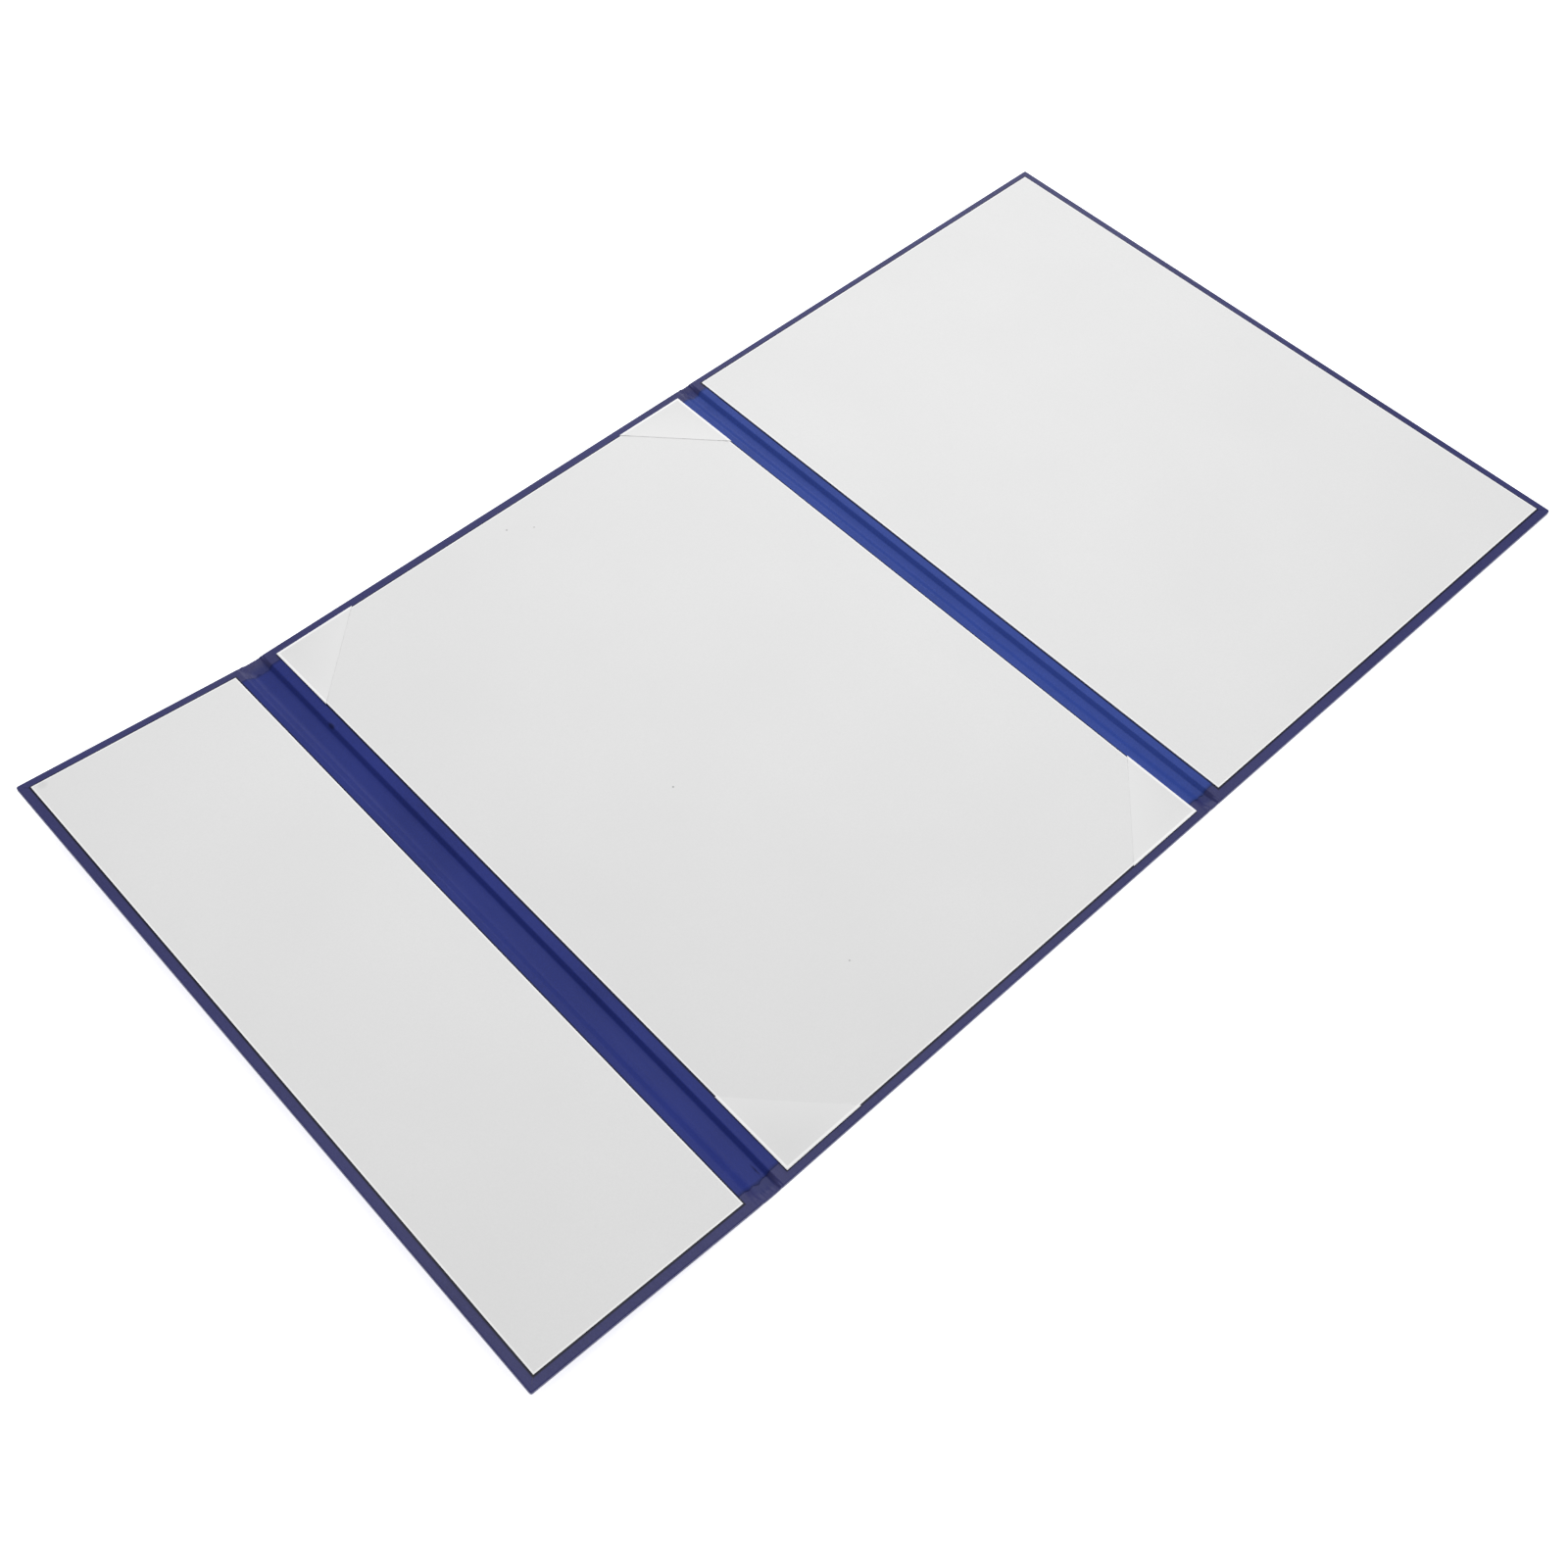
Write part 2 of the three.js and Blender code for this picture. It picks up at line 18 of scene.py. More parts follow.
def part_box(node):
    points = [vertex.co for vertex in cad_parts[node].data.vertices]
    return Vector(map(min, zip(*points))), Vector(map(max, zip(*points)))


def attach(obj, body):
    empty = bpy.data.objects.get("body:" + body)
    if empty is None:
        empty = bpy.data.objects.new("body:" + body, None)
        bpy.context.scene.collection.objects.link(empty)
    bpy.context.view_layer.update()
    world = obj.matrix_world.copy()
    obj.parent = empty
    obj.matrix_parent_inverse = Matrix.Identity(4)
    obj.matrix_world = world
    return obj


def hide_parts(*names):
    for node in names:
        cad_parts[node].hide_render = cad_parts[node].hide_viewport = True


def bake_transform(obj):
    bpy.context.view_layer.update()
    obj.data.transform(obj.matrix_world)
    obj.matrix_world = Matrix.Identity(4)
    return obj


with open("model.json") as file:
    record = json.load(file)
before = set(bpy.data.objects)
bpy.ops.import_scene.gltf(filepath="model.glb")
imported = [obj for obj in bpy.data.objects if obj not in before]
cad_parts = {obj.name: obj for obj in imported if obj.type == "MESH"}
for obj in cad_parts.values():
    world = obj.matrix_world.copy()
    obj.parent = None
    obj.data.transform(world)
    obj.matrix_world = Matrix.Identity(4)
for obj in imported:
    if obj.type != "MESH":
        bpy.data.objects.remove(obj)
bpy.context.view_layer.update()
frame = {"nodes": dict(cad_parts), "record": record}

bl_info = {
    "name": "Diploma cover looks",
    "version": (1, 0, 0),
    "blender": (4, 5, 0),
    "location": "3D View > Sidebar > Diploma cover",
    "description": "Papers, cards, pockets and studio of a three-panel diploma cover",
    "category": "Object",
}

MM = 0.001


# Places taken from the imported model, in millimetres
def node_box(node):
    """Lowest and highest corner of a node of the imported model."""
    low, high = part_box(node)
    return np.array(low) / MM, np.array(high) / MM


def crease(joint):
    """Place of a hinge's axis across the cover and above the table."""
    place = JOINTS[joint]["pos_m"]
    return place[0] / MM, place[2] / MM


MIDDLE_BOARD = node_box("board_middle")
COVER_BOARD = node_box("board_cover")
MIDDLE_LINER = node_box("liner_middle")
COVER_LINER = node_box("liner_cover")
MIDDLE_WRAP = node_box("wrap_middle")
COVER_WRAP = node_box("wrap_cover")
HALF_HEIGHT = (MIDDLE_WRAP[1][1] - MIDDLE_WRAP[0][1]) / 2
JOINTS = {joint["name"]: joint for joint in frame["record"]["behaviour"]["joints"]}
MIDDLE_CREASE = crease("flap_spine_hinge")
FLAP_CREASE_X = MIDDLE_CREASE[0] - math.dist(crease("flap_hinge"), MIDDLE_CREASE)
RAISED_DEGREES = -JOINTS["flap_hinge"]["range_deg"][0]

# The flap's flat sizes, which the boxes of a raised flap don't give
FLAP_BOARD_WIDTH = 96.98
FLAP_LINER_WIDTH = 89.7
FLAP_LINER_ENDS = (-151.4, 151.6)
FLAP_HINGE_MARGIN = 3.2

# Corner pockets: which side across and along, and the legs across and along
POCKETS = {
    "pocket_far_left": (-1, 1, 36.8, 34.0),
    "pocket_far_right": (1, 1, 33.8, 35.6),
    "pocket_near_left": (-1, -1, 34.8, 36.6),
    "pocket_near_right": (1, -1, 36.4, 35.0),
}

# Marks of use: where a dent and a crease in the wide gap's paper lie, the painted shade in them as
# places with reach across, reach along and share, and specks on the cards as places with reach and
# share
DENT_PLACE = (-112.4, 107.0)
CREASE_PLACE = (-115.2, -144.4)
BLUE_MARKS = ((*DENT_PLACE, 1.1, 2.4, 0.7), (*CREASE_PLACE, 0.35, 3.2, 0.6))
CARD_MARKS = (
    (2.8, 141.2, 0.55, 0.6),
    (12.5, 134.6, 0.5, 0.5),
    (-32.3, -7.0, 0.55, 0.7),
    (-35.4, -108.5, 0.5, 0.5),
    (-213.3, 150.0, 2.4, 0.12),
)

# Folds: how far in over a board the sheets of a panel and a gap meet, the slit between mitred
# strips and where it opens, a soft wall's radii as shares of its run, and its share of the room
SEAM_INSET = 2.5
MITRE_SLIT, SLIT_START, SLIT_RUN = 0.06, 1.5, 1.0
SOFT_HEAD, SOFT_FOOT, SOFT_ROOM = 0.5, 1.5, 0.95

# Unevenness: wrinkles of the outer sheet at a gap's ends and how much looser they get, waves,
# pucker, curl and ragged ends of a hinge paper, the two marks' heights and their reach across and
# along, and the depth in a gutter over which each sheet's unevenness grows
WRINKLE, LOOSE_GAIN, SHEET_SLACK_DEPTH = 0.035, 3, 1.2
HINGE_WAVE, HINGE_PUCKER, HINGE_CURL, HINGE_RAGGED = 0.018, 0.05, 0.10, 0.55
HINGE_SLACK_DEPTH = 0.8
DENT_HEIGHT, DENT_REACH = 0.3, (1.3, 1.8)
CREASE_HEIGHT, CREASE_REACH = 0.18, (0.3, 3.4)

# Cards and pockets: the cards' swell and how far in from their edge it grows, the rounding of
# their edges and the width of its strip, the pockets' rounding, and how far their top sags
CARD_SWELL, SWELL_REACH, CARD_ROUNDING, CARD_STRIP = 0.02, 30.0, 0.1, 1.5
POCKET_ROUNDING, POCKET_SAG, SAG_REACH = 0.25, 0.15, 5.0

# Meshes: points round an arc, along a gutter line, over, round and beside a folded edge and near
# a round corner, steps across and along a panel and along a gap's flat sheet, rows of a card and
# a pocket, those of a hinge paper as (start, end, step) in shares of half its length, where
# points merge and slivers go, and a distance that counts as none
ARC_STEPS = 10
LINE_STEP = 0.25
TOP_POINTS, TOP_CROWDING, ROUND_POINTS, SIDE_POINTS = 12, 1.5, 8, 4
PANEL_STEP_X, PANEL_STEP_Y, GAP_STEP = 2.0, 2.5, 4.0
CARD_ROWS_X, CARD_ROWS_Y, POCKET_ROWS = 110, 130, 40
CORNER_STEPS = np.array([0.15, 0.3, 0.45, 0.6, 0.75, 0.9, 1.2, 1.8, 2.7])
HINGE_ROWS = (-0.88, 0.88, 0.012)
HINGE_END_ROWS = ((0.9, 0.925, 0.005), (0.93, 0.96, 0.0022), (0.965, 1, 0.0016))
MERGE_METRES, SLIVER_METRES, SHARP_DEGREES, TINY = 2e-6, 1e-7, 35, 1e-9

# Looks, in millimetres: where the shade low in a gutter starts over the table and fades out, the
# width of the painted shadow along a hinge paper's ragged end, the painted shadow line beyond a
# card's edge and the painted highlight along its cut rim, how far in from its corner a pocket is
# painted lighter towards its mouth, and the height of the specks on the cards. The shade's tint
# is in shares of the paper's red, green and blue
SHADE_FOOT, SHADE_TOP, END_SHADOW_WIDTH = (0.10, 0.25), (0.4, 1.0), 1.3
CARD_SHADOW_SPAN, RIM_HIGHLIGHT, UPPER_SIDE = (0.5, 0.95), (-0.75, -0.25), (1.2, 1.8)
POCKET_LIGHTER, SPECK_HEIGHT, SHADE_TINT = (12.0, 34.0), 2.6, (0.5, 0.7, 1.1)

# Headings along the four sides of a panel, with the inside on the right
RIGHTWARDS, DOWNWARDS, LEFTWARDS, UPWARDS = 0.0, -math.pi / 2, math.pi, math.pi / 2

# Studio, in metres and watts; each lamp has its place, aim, size and power
FLOOR_REACH, FLOOR_LEVEL, FLOOR_GLOW, SKY_STRENGTH = 6.0, -0.00005, 0.7, 0.475
LAMPS = {
    "top_softbox": ((0.19, 0.06, 0.80), (0.05, 0.0, 0.0), (0.8, 0.8), 3.6),
    "far_softbox": ((0.85, 1.00, 0.60), (0.10, 0.05, 0.0), (1.5, 0.6), 5.8),
}
SENSOR_MM, FOCAL_MM, CLIP_START = 36.0, 43.09, 0.01
CAMERA_PLACE = Matrix((
    (0.73033, 0.55937, -0.39207, -0.28609),
    (-0.68299, 0.60790, -0.40494, -0.33099),
    (0.01183, 0.56352, 0.82602, 0.60603),
    (0.0, 0.0, 0.0, 1.0),
))


# Sizes and colours that a user may change
def length(name, description, default):
    """A length in metres, given here in millimetres."""
    return FloatProperty(name=name, description=description, default=default * MM, unit="LENGTH",
                         precision=6)


def colour(name, description, default):
    """A linear colour."""
    return FloatVectorProperty(name=name, description=description, default=default,
                               subtype="COLOR", size=3, min=0.0, max=1.0)


class DiplomaCoverSizes(bpy.types.PropertyGroup):
    """Sizes of the papers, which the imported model's own boxes don't give."""
    outer_paper: length("Outer paper", "Thickness of the blue outer sheet", 0.15)
    hinge_paper: length("Hinge paper", "Thickness of the blue paper over a hinge gap", 0.15)
    pocket_paper: length("Pocket paper", "Thickness of a corner pocket's paper", 0.12)
    glue_line: length("Glue line", "Room between two glued layers", 0.02)
    turn_in: length("Turn-in", "Width of the outer sheet's turned-in strip", 15.0)
    wide_gap: length("Wide gap", "Hinge gap beside the flap, board to board", 12.0)
    narrow_gap: length("Narrow gap", "Hinge gap beside the front cover, board to board", 8.0)
    gutter_run: length("Gutter run", "How far a gutter wall slopes out into its gap", 1.6)
    gutter_head: length("Gutter head", "Radius of the paper over a board's edge", 0.5)
    gutter_foot: length("Gutter foot", "Radius of the paper at the foot of a gutter wall", 1.0)
    soft_wide_run: length("Soft wide run", "Slope of the soft wall beside the flap", 3.6)
    soft_narrow_run: length("Soft narrow run", "Slope of the soft wall on the middle panel", 3.0)
    gap_roll: length("Gap roll", "Rise of the outer sheet's loose fold at a gap's ends", 1.25)
    hinge_underlap: length("Hinge underlap", "How far a hinge paper runs on under a liner", 8.0)
    hinge_inset: length("Hinge end inset", "From a hinge paper's end to the board's end", 7.0)
    edge_radius: length("Edge radius", "Radius of the outer sheet round a board's edge", 0.45)
    corner_radius: length("Corner radius", "How blunt the free corners are in plan", 0.9)
    pocket_fold: length("Pocket fold", "How far a pocket stands proud of the liner's edge", 0.5)
    pocket_mouth: length("Pocket mouth", "Room for a sheet under a pocket's mouth", 0.2)
    pocket_flap: length("Pocket flap", "Width of a pocket's part tucked behind the liner", 7.0)


class DiplomaCoverColours(bpy.types.PropertyGroup):
    """Colours of the papers, cards and boards."""
    outer: colour("Outer paper", "Satin blue outer sheet", (0.032, 0.034, 0.124))
    wide_hinge: colour("Wide hinge paper", "Blue paper beside the flap", (0.015, 0.026, 0.170))
    narrow_hinge: colour("Narrow hinge paper", "Blue paper beside the front cover",
                         (0.026, 0.054, 0.259))
    card: colour("Liner card", "White liner card", (0.795, 0.795, 0.795))
    pocket: colour("Pocket paper", "White paper of the corner pockets", (0.79, 0.79, 0.79))
    board: colour("Greyboard", "Grey board between the papers", (0.27, 0.25, 0.22))


def own_names(group):
    """Names of the properties that a group adds itself."""
    return [name for name in group.bl_rna.properties.keys() if name not in ("rna_type", "name")]


def sizes():
    """The scene's sizes, in millimetres by name."""
    group = bpy.context.scene.diploma_cover_sizes
    return {name: getattr(group, name) / MM for name in own_names(group)}


def colours():
    """The scene's colours."""
    return bpy.context.scene.diploma_cover_colours


# Layout of the flat cover
def levels(size):
    """Heights of the layers of a flat panel over the table."""
    paper, glue = size["outer_paper"], size["glue_line"]
    bed = MIDDLE_BOARD[1][2] + glue
    return {"floor": paper + glue, "bed": bed, "turn_in": bed + paper,
            "liner": MIDDLE_LINER[1][2], "liner_under": bed + paper + glue}


def panels(size):
    """The three panels: their name, where their board, or on a free side their outer sheet,
    starts and ends across, and which side is free."""
    wide_left = MIDDLE_BOARD[0][0] - size["wide_gap"]
    flap_left = wide_left - FLAP_BOARD_WIDTH - size["outer_paper"] - size["glue_line"]
    return [
        ("flap", flap_left, wide_left, -1),
        ("middle", MIDDLE_BOARD[0][0], MIDDLE_BOARD[1][0], 0),
        ("cover", COVER_BOARD[0][0], COVER_WRAP[1][0], 1),
    ]


def gap_halves(size):
    """The halves of the two hinge gaps: the gap's name and middle, the panel beside it, the
    board's edge, the crease, and how far in from that edge the liner starts."""
    left, right, cover_left = MIDDLE_BOARD[0][0], MIDDLE_BOARD[1][0], COVER_BOARD[0][0]
    wide = "wide", left - size["wide_gap"] / 2
    narrow = "narrow", right + size["narrow_gap"] / 2
    flap_crease = FLAP_CREASE_X, MIDDLE_CREASE[1]
    halves = [
        (*wide, "flap", left - size["wide_gap"], flap_crease, FLAP_HINGE_MARGIN),
        (*wide, "middle", left, MIDDLE_CREASE, MIDDLE_LINER[0][0] - left),
        (*narrow, "middle", right, crease("cover_spine_hinge"), right - MIDDLE_LINER[1][0]),
        (*narrow, "cover", cover_left, crease("cover_hinge"), COVER_LINER[0][0] - cover_left),
    ]
    names = ("gap", "middle", "panel", "edge", "crease", "margin")
    return [dict(zip(names, half)) for half in halves]


def card_spans(size):
    """Where each liner card lies: its sides across and its ends along."""
    flap_right = MIDDLE_BOARD[0][0] - size["wide_gap"] - FLAP_HINGE_MARGIN
    spans = {"flap": ((flap_right - FLAP_LINER_WIDTH, flap_right), FLAP_LINER_ENDS)}
    for name, (low, high) in (("middle", MIDDLE_LINER), ("cover", COVER_LINER)):
        spans[name] = ((low[0], high[0]), (low[1], high[1]))
    return spans


# Surfaces
def smooth(t):
    """Smooth step: 0 below 0, 1 above 1 and 3 t squared less 2 t cubed between."""
    t = np.clip(t, 0.0, 1.0)
    return t * t * (3.0 - 2.0 * t)


def ripples(x, y, seed, wave, count=7):
    """Gentle uneven waves, mostly between -1 and 1: twice the mean of a few sines that run in
    seeded directions with seeded phases, each about one wavelength long."""
    rng = np.random.default_rng(seed)
    angle = rng.uniform(0, 2 * np.pi, count)
    phase = rng.uniform(0, 2 * np.pi, count)
    pitch = rng.uniform(0.7, 1.6, count) * 2 * np.pi / wave
    total = sum(np.sin(pitch[k] * (x * np.cos(angle[k]) + y * np.sin(angle[k])) + phase[k])
                for k in range(count))
    return total / count * 2.0


def bump_at(x, y, place, reach):
    """A bell-shaped hump of height 1 at a place: e to the power of less the squared distance,
    measured across and along in reaches of their own."""
    return np.exp(-((x - place[0]) / reach[0]) ** 2 - ((y - place[1]) / reach[1]) ** 2)


def even(start, end, step):
    """Even places from start to end, no more than a step apart."""
    return np.linspace(start, end, max(2, int(abs(end - start) / step) + 2))


def shares(run, step, dense_start, dense_end):
    """Shares of a run from 0 to 1, about a step apart, closer together near an end that has a
    round corner."""
    close = CORNER_STEPS / run
    parts = [even(0, 1, step / run)]
    if dense_start:
        parts.append(close)
    if dense_end:
        parts.append(1 - close)
    return np.unique(np.round(np.concatenate(parts), 7))


def turned(points, axis_x, axis_z, degrees):
    """Points turned about a line along Y by an angle of their own, up on the flap's side: the
    distances across and up from the line are mixed by the angle's cosine and sine."""
    angle = np.radians(degrees)
    x, z = points[..., 0] - axis_x, points[..., 2] - axis_z
    out = points.copy()
    out[..., 0] = axis_x + x * np.cos(angle) + z * np.sin(angle)
    out[..., 2] = axis_z - x * np.sin(angle) + z * np.cos(angle)
    return out


def bend_reach(height):
    """Half the width of paper that bends at a crease, so that a quarter turn neither stretches nor
    shortens its outer face: half of a quarter of the circle whose radius is the crease's height."""
    return height * math.pi / 4


def raised(points):
    """Places in the flat cover brought to rest: the flap stands a little raised, and each of its
    two creases turns it by the same angle over its own band of bending paper."""
    x, height = points[..., 0], MIDDLE_CREASE[1]
    reach = bend_reach(height)
    flap_share = smooth((FLAP_CREASE_X + reach - x) / (2 * reach))
    spine_share = smooth((MIDDLE_CREASE[0] + reach - x) / (2 * reach))
    out = turned(points, FLAP_CREASE_X, height, RAISED_DEGREES * flap_share)
    return turned(out, MIDDLE_CREASE[0], height, RAISED_DEGREES * spine_share)


def arc_line(corners):
    """A line through corners (u, v, radius), each rounded by an arc that starts the radius times
    the tangent of half the turn before its corner. Returns the points and the unit normals on the
    line's left."""
    points, normals = [], []
    legs = [math.atan2(b[1] - a[1], b[0] - a[0]) for a, b in zip(corners, corners[1:])]
    for i, (u, v, radius) in enumerate(corners):
        heading_in, heading_out = legs[max(i - 1, 0)], legs[min(i, len(legs) - 1)]
        if not radius:
            points.append([[u, v]])
            normals.append([[-math.sin(heading_in), math.cos(heading_in)]])
            continue
        turn = heading_out - heading_in
        setback = radius * math.tan(abs(turn) / 2)
        side = math.copysign(1.0, turn)
        centre = (u - setback * math.cos(heading_in) - side * radius * math.sin(heading_in),
                  v - setback * math.sin(heading_in) + side * radius * math.cos(heading_in))
        heading = heading_in + turn * np.linspace(0, 1, ARC_STEPS + 1)
        points.append(np.stack([centre[0] + side * radius * np.sin(heading),
                                centre[1] - side * radius * np.cos(heading)], axis=-1))
        normals.append(np.stack([-np.sin(heading), np.cos(heading)], axis=-1))
    return np.concatenate(points), np.concatenate(normals)


def resampled(points, normals):
    """The same line with more points wherever two of them lie more than a step apart."""
    out_points, out_normals = [points[:1]], [normals[:1]]
    for a, b, na, nb in zip(points[:-1], points[1:], normals[:-1], normals[1:]):
        count = max(1, int(math.ceil(np.linalg.norm(b - a) / LINE_STEP)))
        share = np.linspace(0, 1, count + 1)[1:, None]
        out_points.append(a + (b - a) * share)
        out_normals.append(na + (nb - na) * share)
    return np.concatenate(out_points), np.concatenate(out_normals)


def gap_line(size, half, reach):
    """The line that papers follow from over a board, down its gutter wall and along the floor to
    the middle of the gap, from left to right. reach is how far it starts in over the board. A
    board on the gap's left has a soft wall, as round at its foot as the gap has room for."""
    level, board_edge, gap_middle = levels(size), half["edge"], half["middle"]
    side = math.copysign(1.0, board_edge - gap_middle)
    run, head, foot = size["gutter_run"], size["gutter_head"], size["gutter_foot"]
    if side < 0:
        run = size["soft_%s_run" % half["gap"]]
        half_slope = math.atan2(level["bed"] - level["floor"], run) / 2
        room = SOFT_ROOM * (gap_middle - board_edge - run) / math.tan(half_slope)
        head, foot = run * SOFT_HEAD, min(run * SOFT_FOOT, room)
    corners = [
        (board_edge + side * reach, level["bed"], 0.0),
        (board_edge, level["bed"], head),
        (board_edge - side * run, level["floor"], foot),
        (gap_middle, level["floor"], 0.0),
    ]
    if side > 0:
        corners.reverse()
    return resampled(*arc_line(corners))


def section(top, radius, width):
    """Section across a folded edge: in over the top by the width, round the edge by a quarter
    circle, down, round again and back in under it. top is the height of the top for each place
    along the edge, and radius that of both roundings there. Returns how far in from the edge and
    how high each point is, places down and section points across, and which of them lie on the
    top face."""
    top, radius = top[:, None], radius[:, None]
    inward = width * np.linspace(1, 0, TOP_POINTS)[None, :] ** TOP_CROWDING
    quarter = np.linspace(0, np.pi / 2, ROUND_POINTS)[None, 1:]
    rise = np.linspace(0, 1, SIDE_POINTS)[None, 1:]
    flat_in = radius + (width - radius) * inward / width
    ones = np.ones_like(flat_in)
    inset = np.concatenate([
        flat_in, radius * (1 - np.sin(quarter)), 0 * radius * rise, radius * (1 - np.cos(quarter)),
        flat_in[:, ::-1][:, 1:],
    ], axis=1)
    height = np.concatenate([
        top * ones, top - radius * (1 - np.cos(quarter)),
        top - radius + (2 * radius - top) * rise, radius * (1 - np.sin(quarter)),
        0 * top * ones[:, 1:],
    ], axis=1)
    on_top = np.zeros(inset.shape[1], bool)
    on_top[:flat_in.shape[1]] = True
    return inset, height, on_top


def folded_edge(start, heading, run, share, top, radius, width, low=0.0, mitres=(0, 0), slit=0.0,
                lean=None):
    """Skin of a folded edge as a grid: the section carried along a straight edge. The edge starts
    at a corner and runs with the inside on its right. A mitred end is shortened by the inset, so
    that it meets the next edge on the diagonal; on the top face a slit stays open there. lean
    moves the top along the edge."""
    inset, height, on_top = section(top, radius, width)
    opening = np.where(on_top[None, :], smooth((inset - SLIT_START) / SLIT_RUN) * slit, 0.0)
    begin = mitres[0] * (inset + opening)
    end = run - mitres[1] * (inset + opening)
    along = begin + (end - begin) * share[:, None]
    if lean is not None:
        along = along + lean[:, None] * height / top[:, None]
    cos, sin = math.cos(heading), math.sin(heading)
    return np.stack([start[0] + along * cos + inset * sin, start[1] + along * sin - inset * cos,
                     low + height], axis=-1)


def flat_field(x, y, z):
    """Flat grid at the places x across and y along."""
    return np.stack(np.broadcast_arrays(x[:, None], y[None, :], z), axis=-1)


def blunted(points, corner, side_x, side_y, radius):
    """Points near a square corner drawn in to a round one: of the two distances in from where the
    rounding starts, the square's outline, where the greater one is the radius, becomes a circle."""
    u = side_x * (points[..., 0] - corner[0]) + radius
    v = side_y * (points[..., 1] - corner[1]) + radius
    near = (u > 0) & (v > 0)
    share = np.where(near, np.maximum(u, v) / np.maximum(np.hypot(u, v), TINY), 1.0)
    out = points.copy()
    out[..., 0] = np.where(near, corner[0] + side_x * (u * share - radius), points[..., 0])
    out[..., 1] = np.where(near, corner[1] + side_y * (v * share - radius), points[..., 1])
    return out


def panel_sheet(size, left, right, free):
    """The outer sheet of one panel as a skin: a folded edge along each side that isn't a hinge,
    mitred where two of them meet, and the flat field under the board."""
    width, top, radius = size["turn_in"], levels(size)["turn_in"], size["edge_radius"]
    free_left, free_right = int(free < 0), int(free > 0)
    low_x = left + (0 if free_left else SEAM_INSET)
    high_x = right - (0 if free_right else SEAM_INSET)
    run = high_x - low_x
    share_x = shares(run, PANEL_STEP_X, free_left, free_right)
    share_y = shares(2 * HALF_HEIGHT, PANEL_STEP_Y, True, True)

    def edge(start, heading, length_of_edge, share, mitres):
        """One folded edge of this panel, as high and as round all along."""
        along = np.ones(len(share))
        return folded_edge(start, heading, length_of_edge, share, top * along, radius * along,
                           width, mitres=mitres, slit=MITRE_SLIT)

    grids = [
        edge((low_x, HALF_HEIGHT), RIGHTWARDS, run, share_x, (free_left, free_right)),
        edge((high_x, -HALF_HEIGHT), LEFTWARDS, run, 1 - share_x[::-1], (free_right, free_left)),
    ]
    if free_right:
        grids.append(edge((high_x, HALF_HEIGHT), DOWNWARDS, 2 * HALF_HEIGHT, share_y, (1, 1)))
    if free_left:
        grids.append(edge((low_x, -HALF_HEIGHT), UPWARDS, 2 * HALF_HEIGHT, share_y, (1, 1)))
    low_cut, high_cut = width * free_left, width * free_right
    field_x = low_x + low_cut + (run - low_cut - high_cut) * share_x
    field_y = (HALF_HEIGHT - width) * (2 * share_y - 1)
    grids.append(flat_field(field_x, field_y, 0.0)[:, ::-1])
    if free:
        for side_y in (-1, 1):
            corner = (high_x if free_right else low_x, side_y * HALF_HEIGHT)
            grids = [blunted(grid, corner, free, side_y, size["corner_radius"]) for grid in grids]
    return [(grid, False) for grid in grids]


def gap_sheet(size, line, normals):
    """The outer sheet from over a board to the middle of a gap, as a skin: its turned-in strips
    follow the gutter line at both ends, and between them only the flat sheet on the table is left.
    At the very ends, with no board to pull it tight, the fold stays a loose, wrinkled roll: each
    height grows by the wrinkles, looser towards the end, and by the roll, which fades inwards,
    times its share of the fold's height and how low in the gutter it lies."""
    loose_width, loose_fade, roll_width, side_room = 6.0, 2.0, 4.5, 0.01
    paper = size["outer_paper"]
    top = line[:, 1] + normals[:, 1] * paper
    lean = normals[:, 0] * paper
    radius = np.minimum(size["edge_radius"], top / 2 - side_room)
    run = line[-1, 0] - line[0, 0]
    share = (line[:, 0] - line[0, 0]) / run
    width = size["turn_in"]
    far = folded_edge((line[0, 0], HALF_HEIGHT), RIGHTWARDS, run, share, top, radius, width,
                      lean=lean)
    near = folded_edge((line[-1, 0], -HALF_HEIGHT), LEFTWARDS, run, 1 - share[::-1], top[::-1],
                       radius[::-1], width, lean=-lean[::-1])
    depth = smooth((levels(size)["bed"] - line[:, 1]) / SHEET_SLACK_DEPTH)
    for edge, slack in ((far, depth / top), (near, (depth / top)[::-1])):
        inset = HALF_HEIGHT - np.abs(edge[..., 1])
        loose = 1 + LOOSE_GAIN * smooth((loose_width - inset) / loose_fade)
        roll = size["gap_roll"] * smooth(1 - inset / roll_width)
        edge[..., 2] += (wrinkles(edge) * loose + roll) * slack[:, None] * edge[..., 2]
    field = flat_field(line[:, 0], even(HALF_HEIGHT - width, width - HALF_HEIGHT, GAP_STEP), 0.0)
    return [(far, False), (near, False), (field, False)]


def wrinkles(points):
    """Small uneven folds of the turned-in sheet at the ends of a gap: the size of seeded ripples,
    set a hundredth low."""
    sunk = 0.01
    return WRINKLE * np.abs(ripples(points[..., 0], points[..., 1], seed=31, wave=2.6)) - sunk


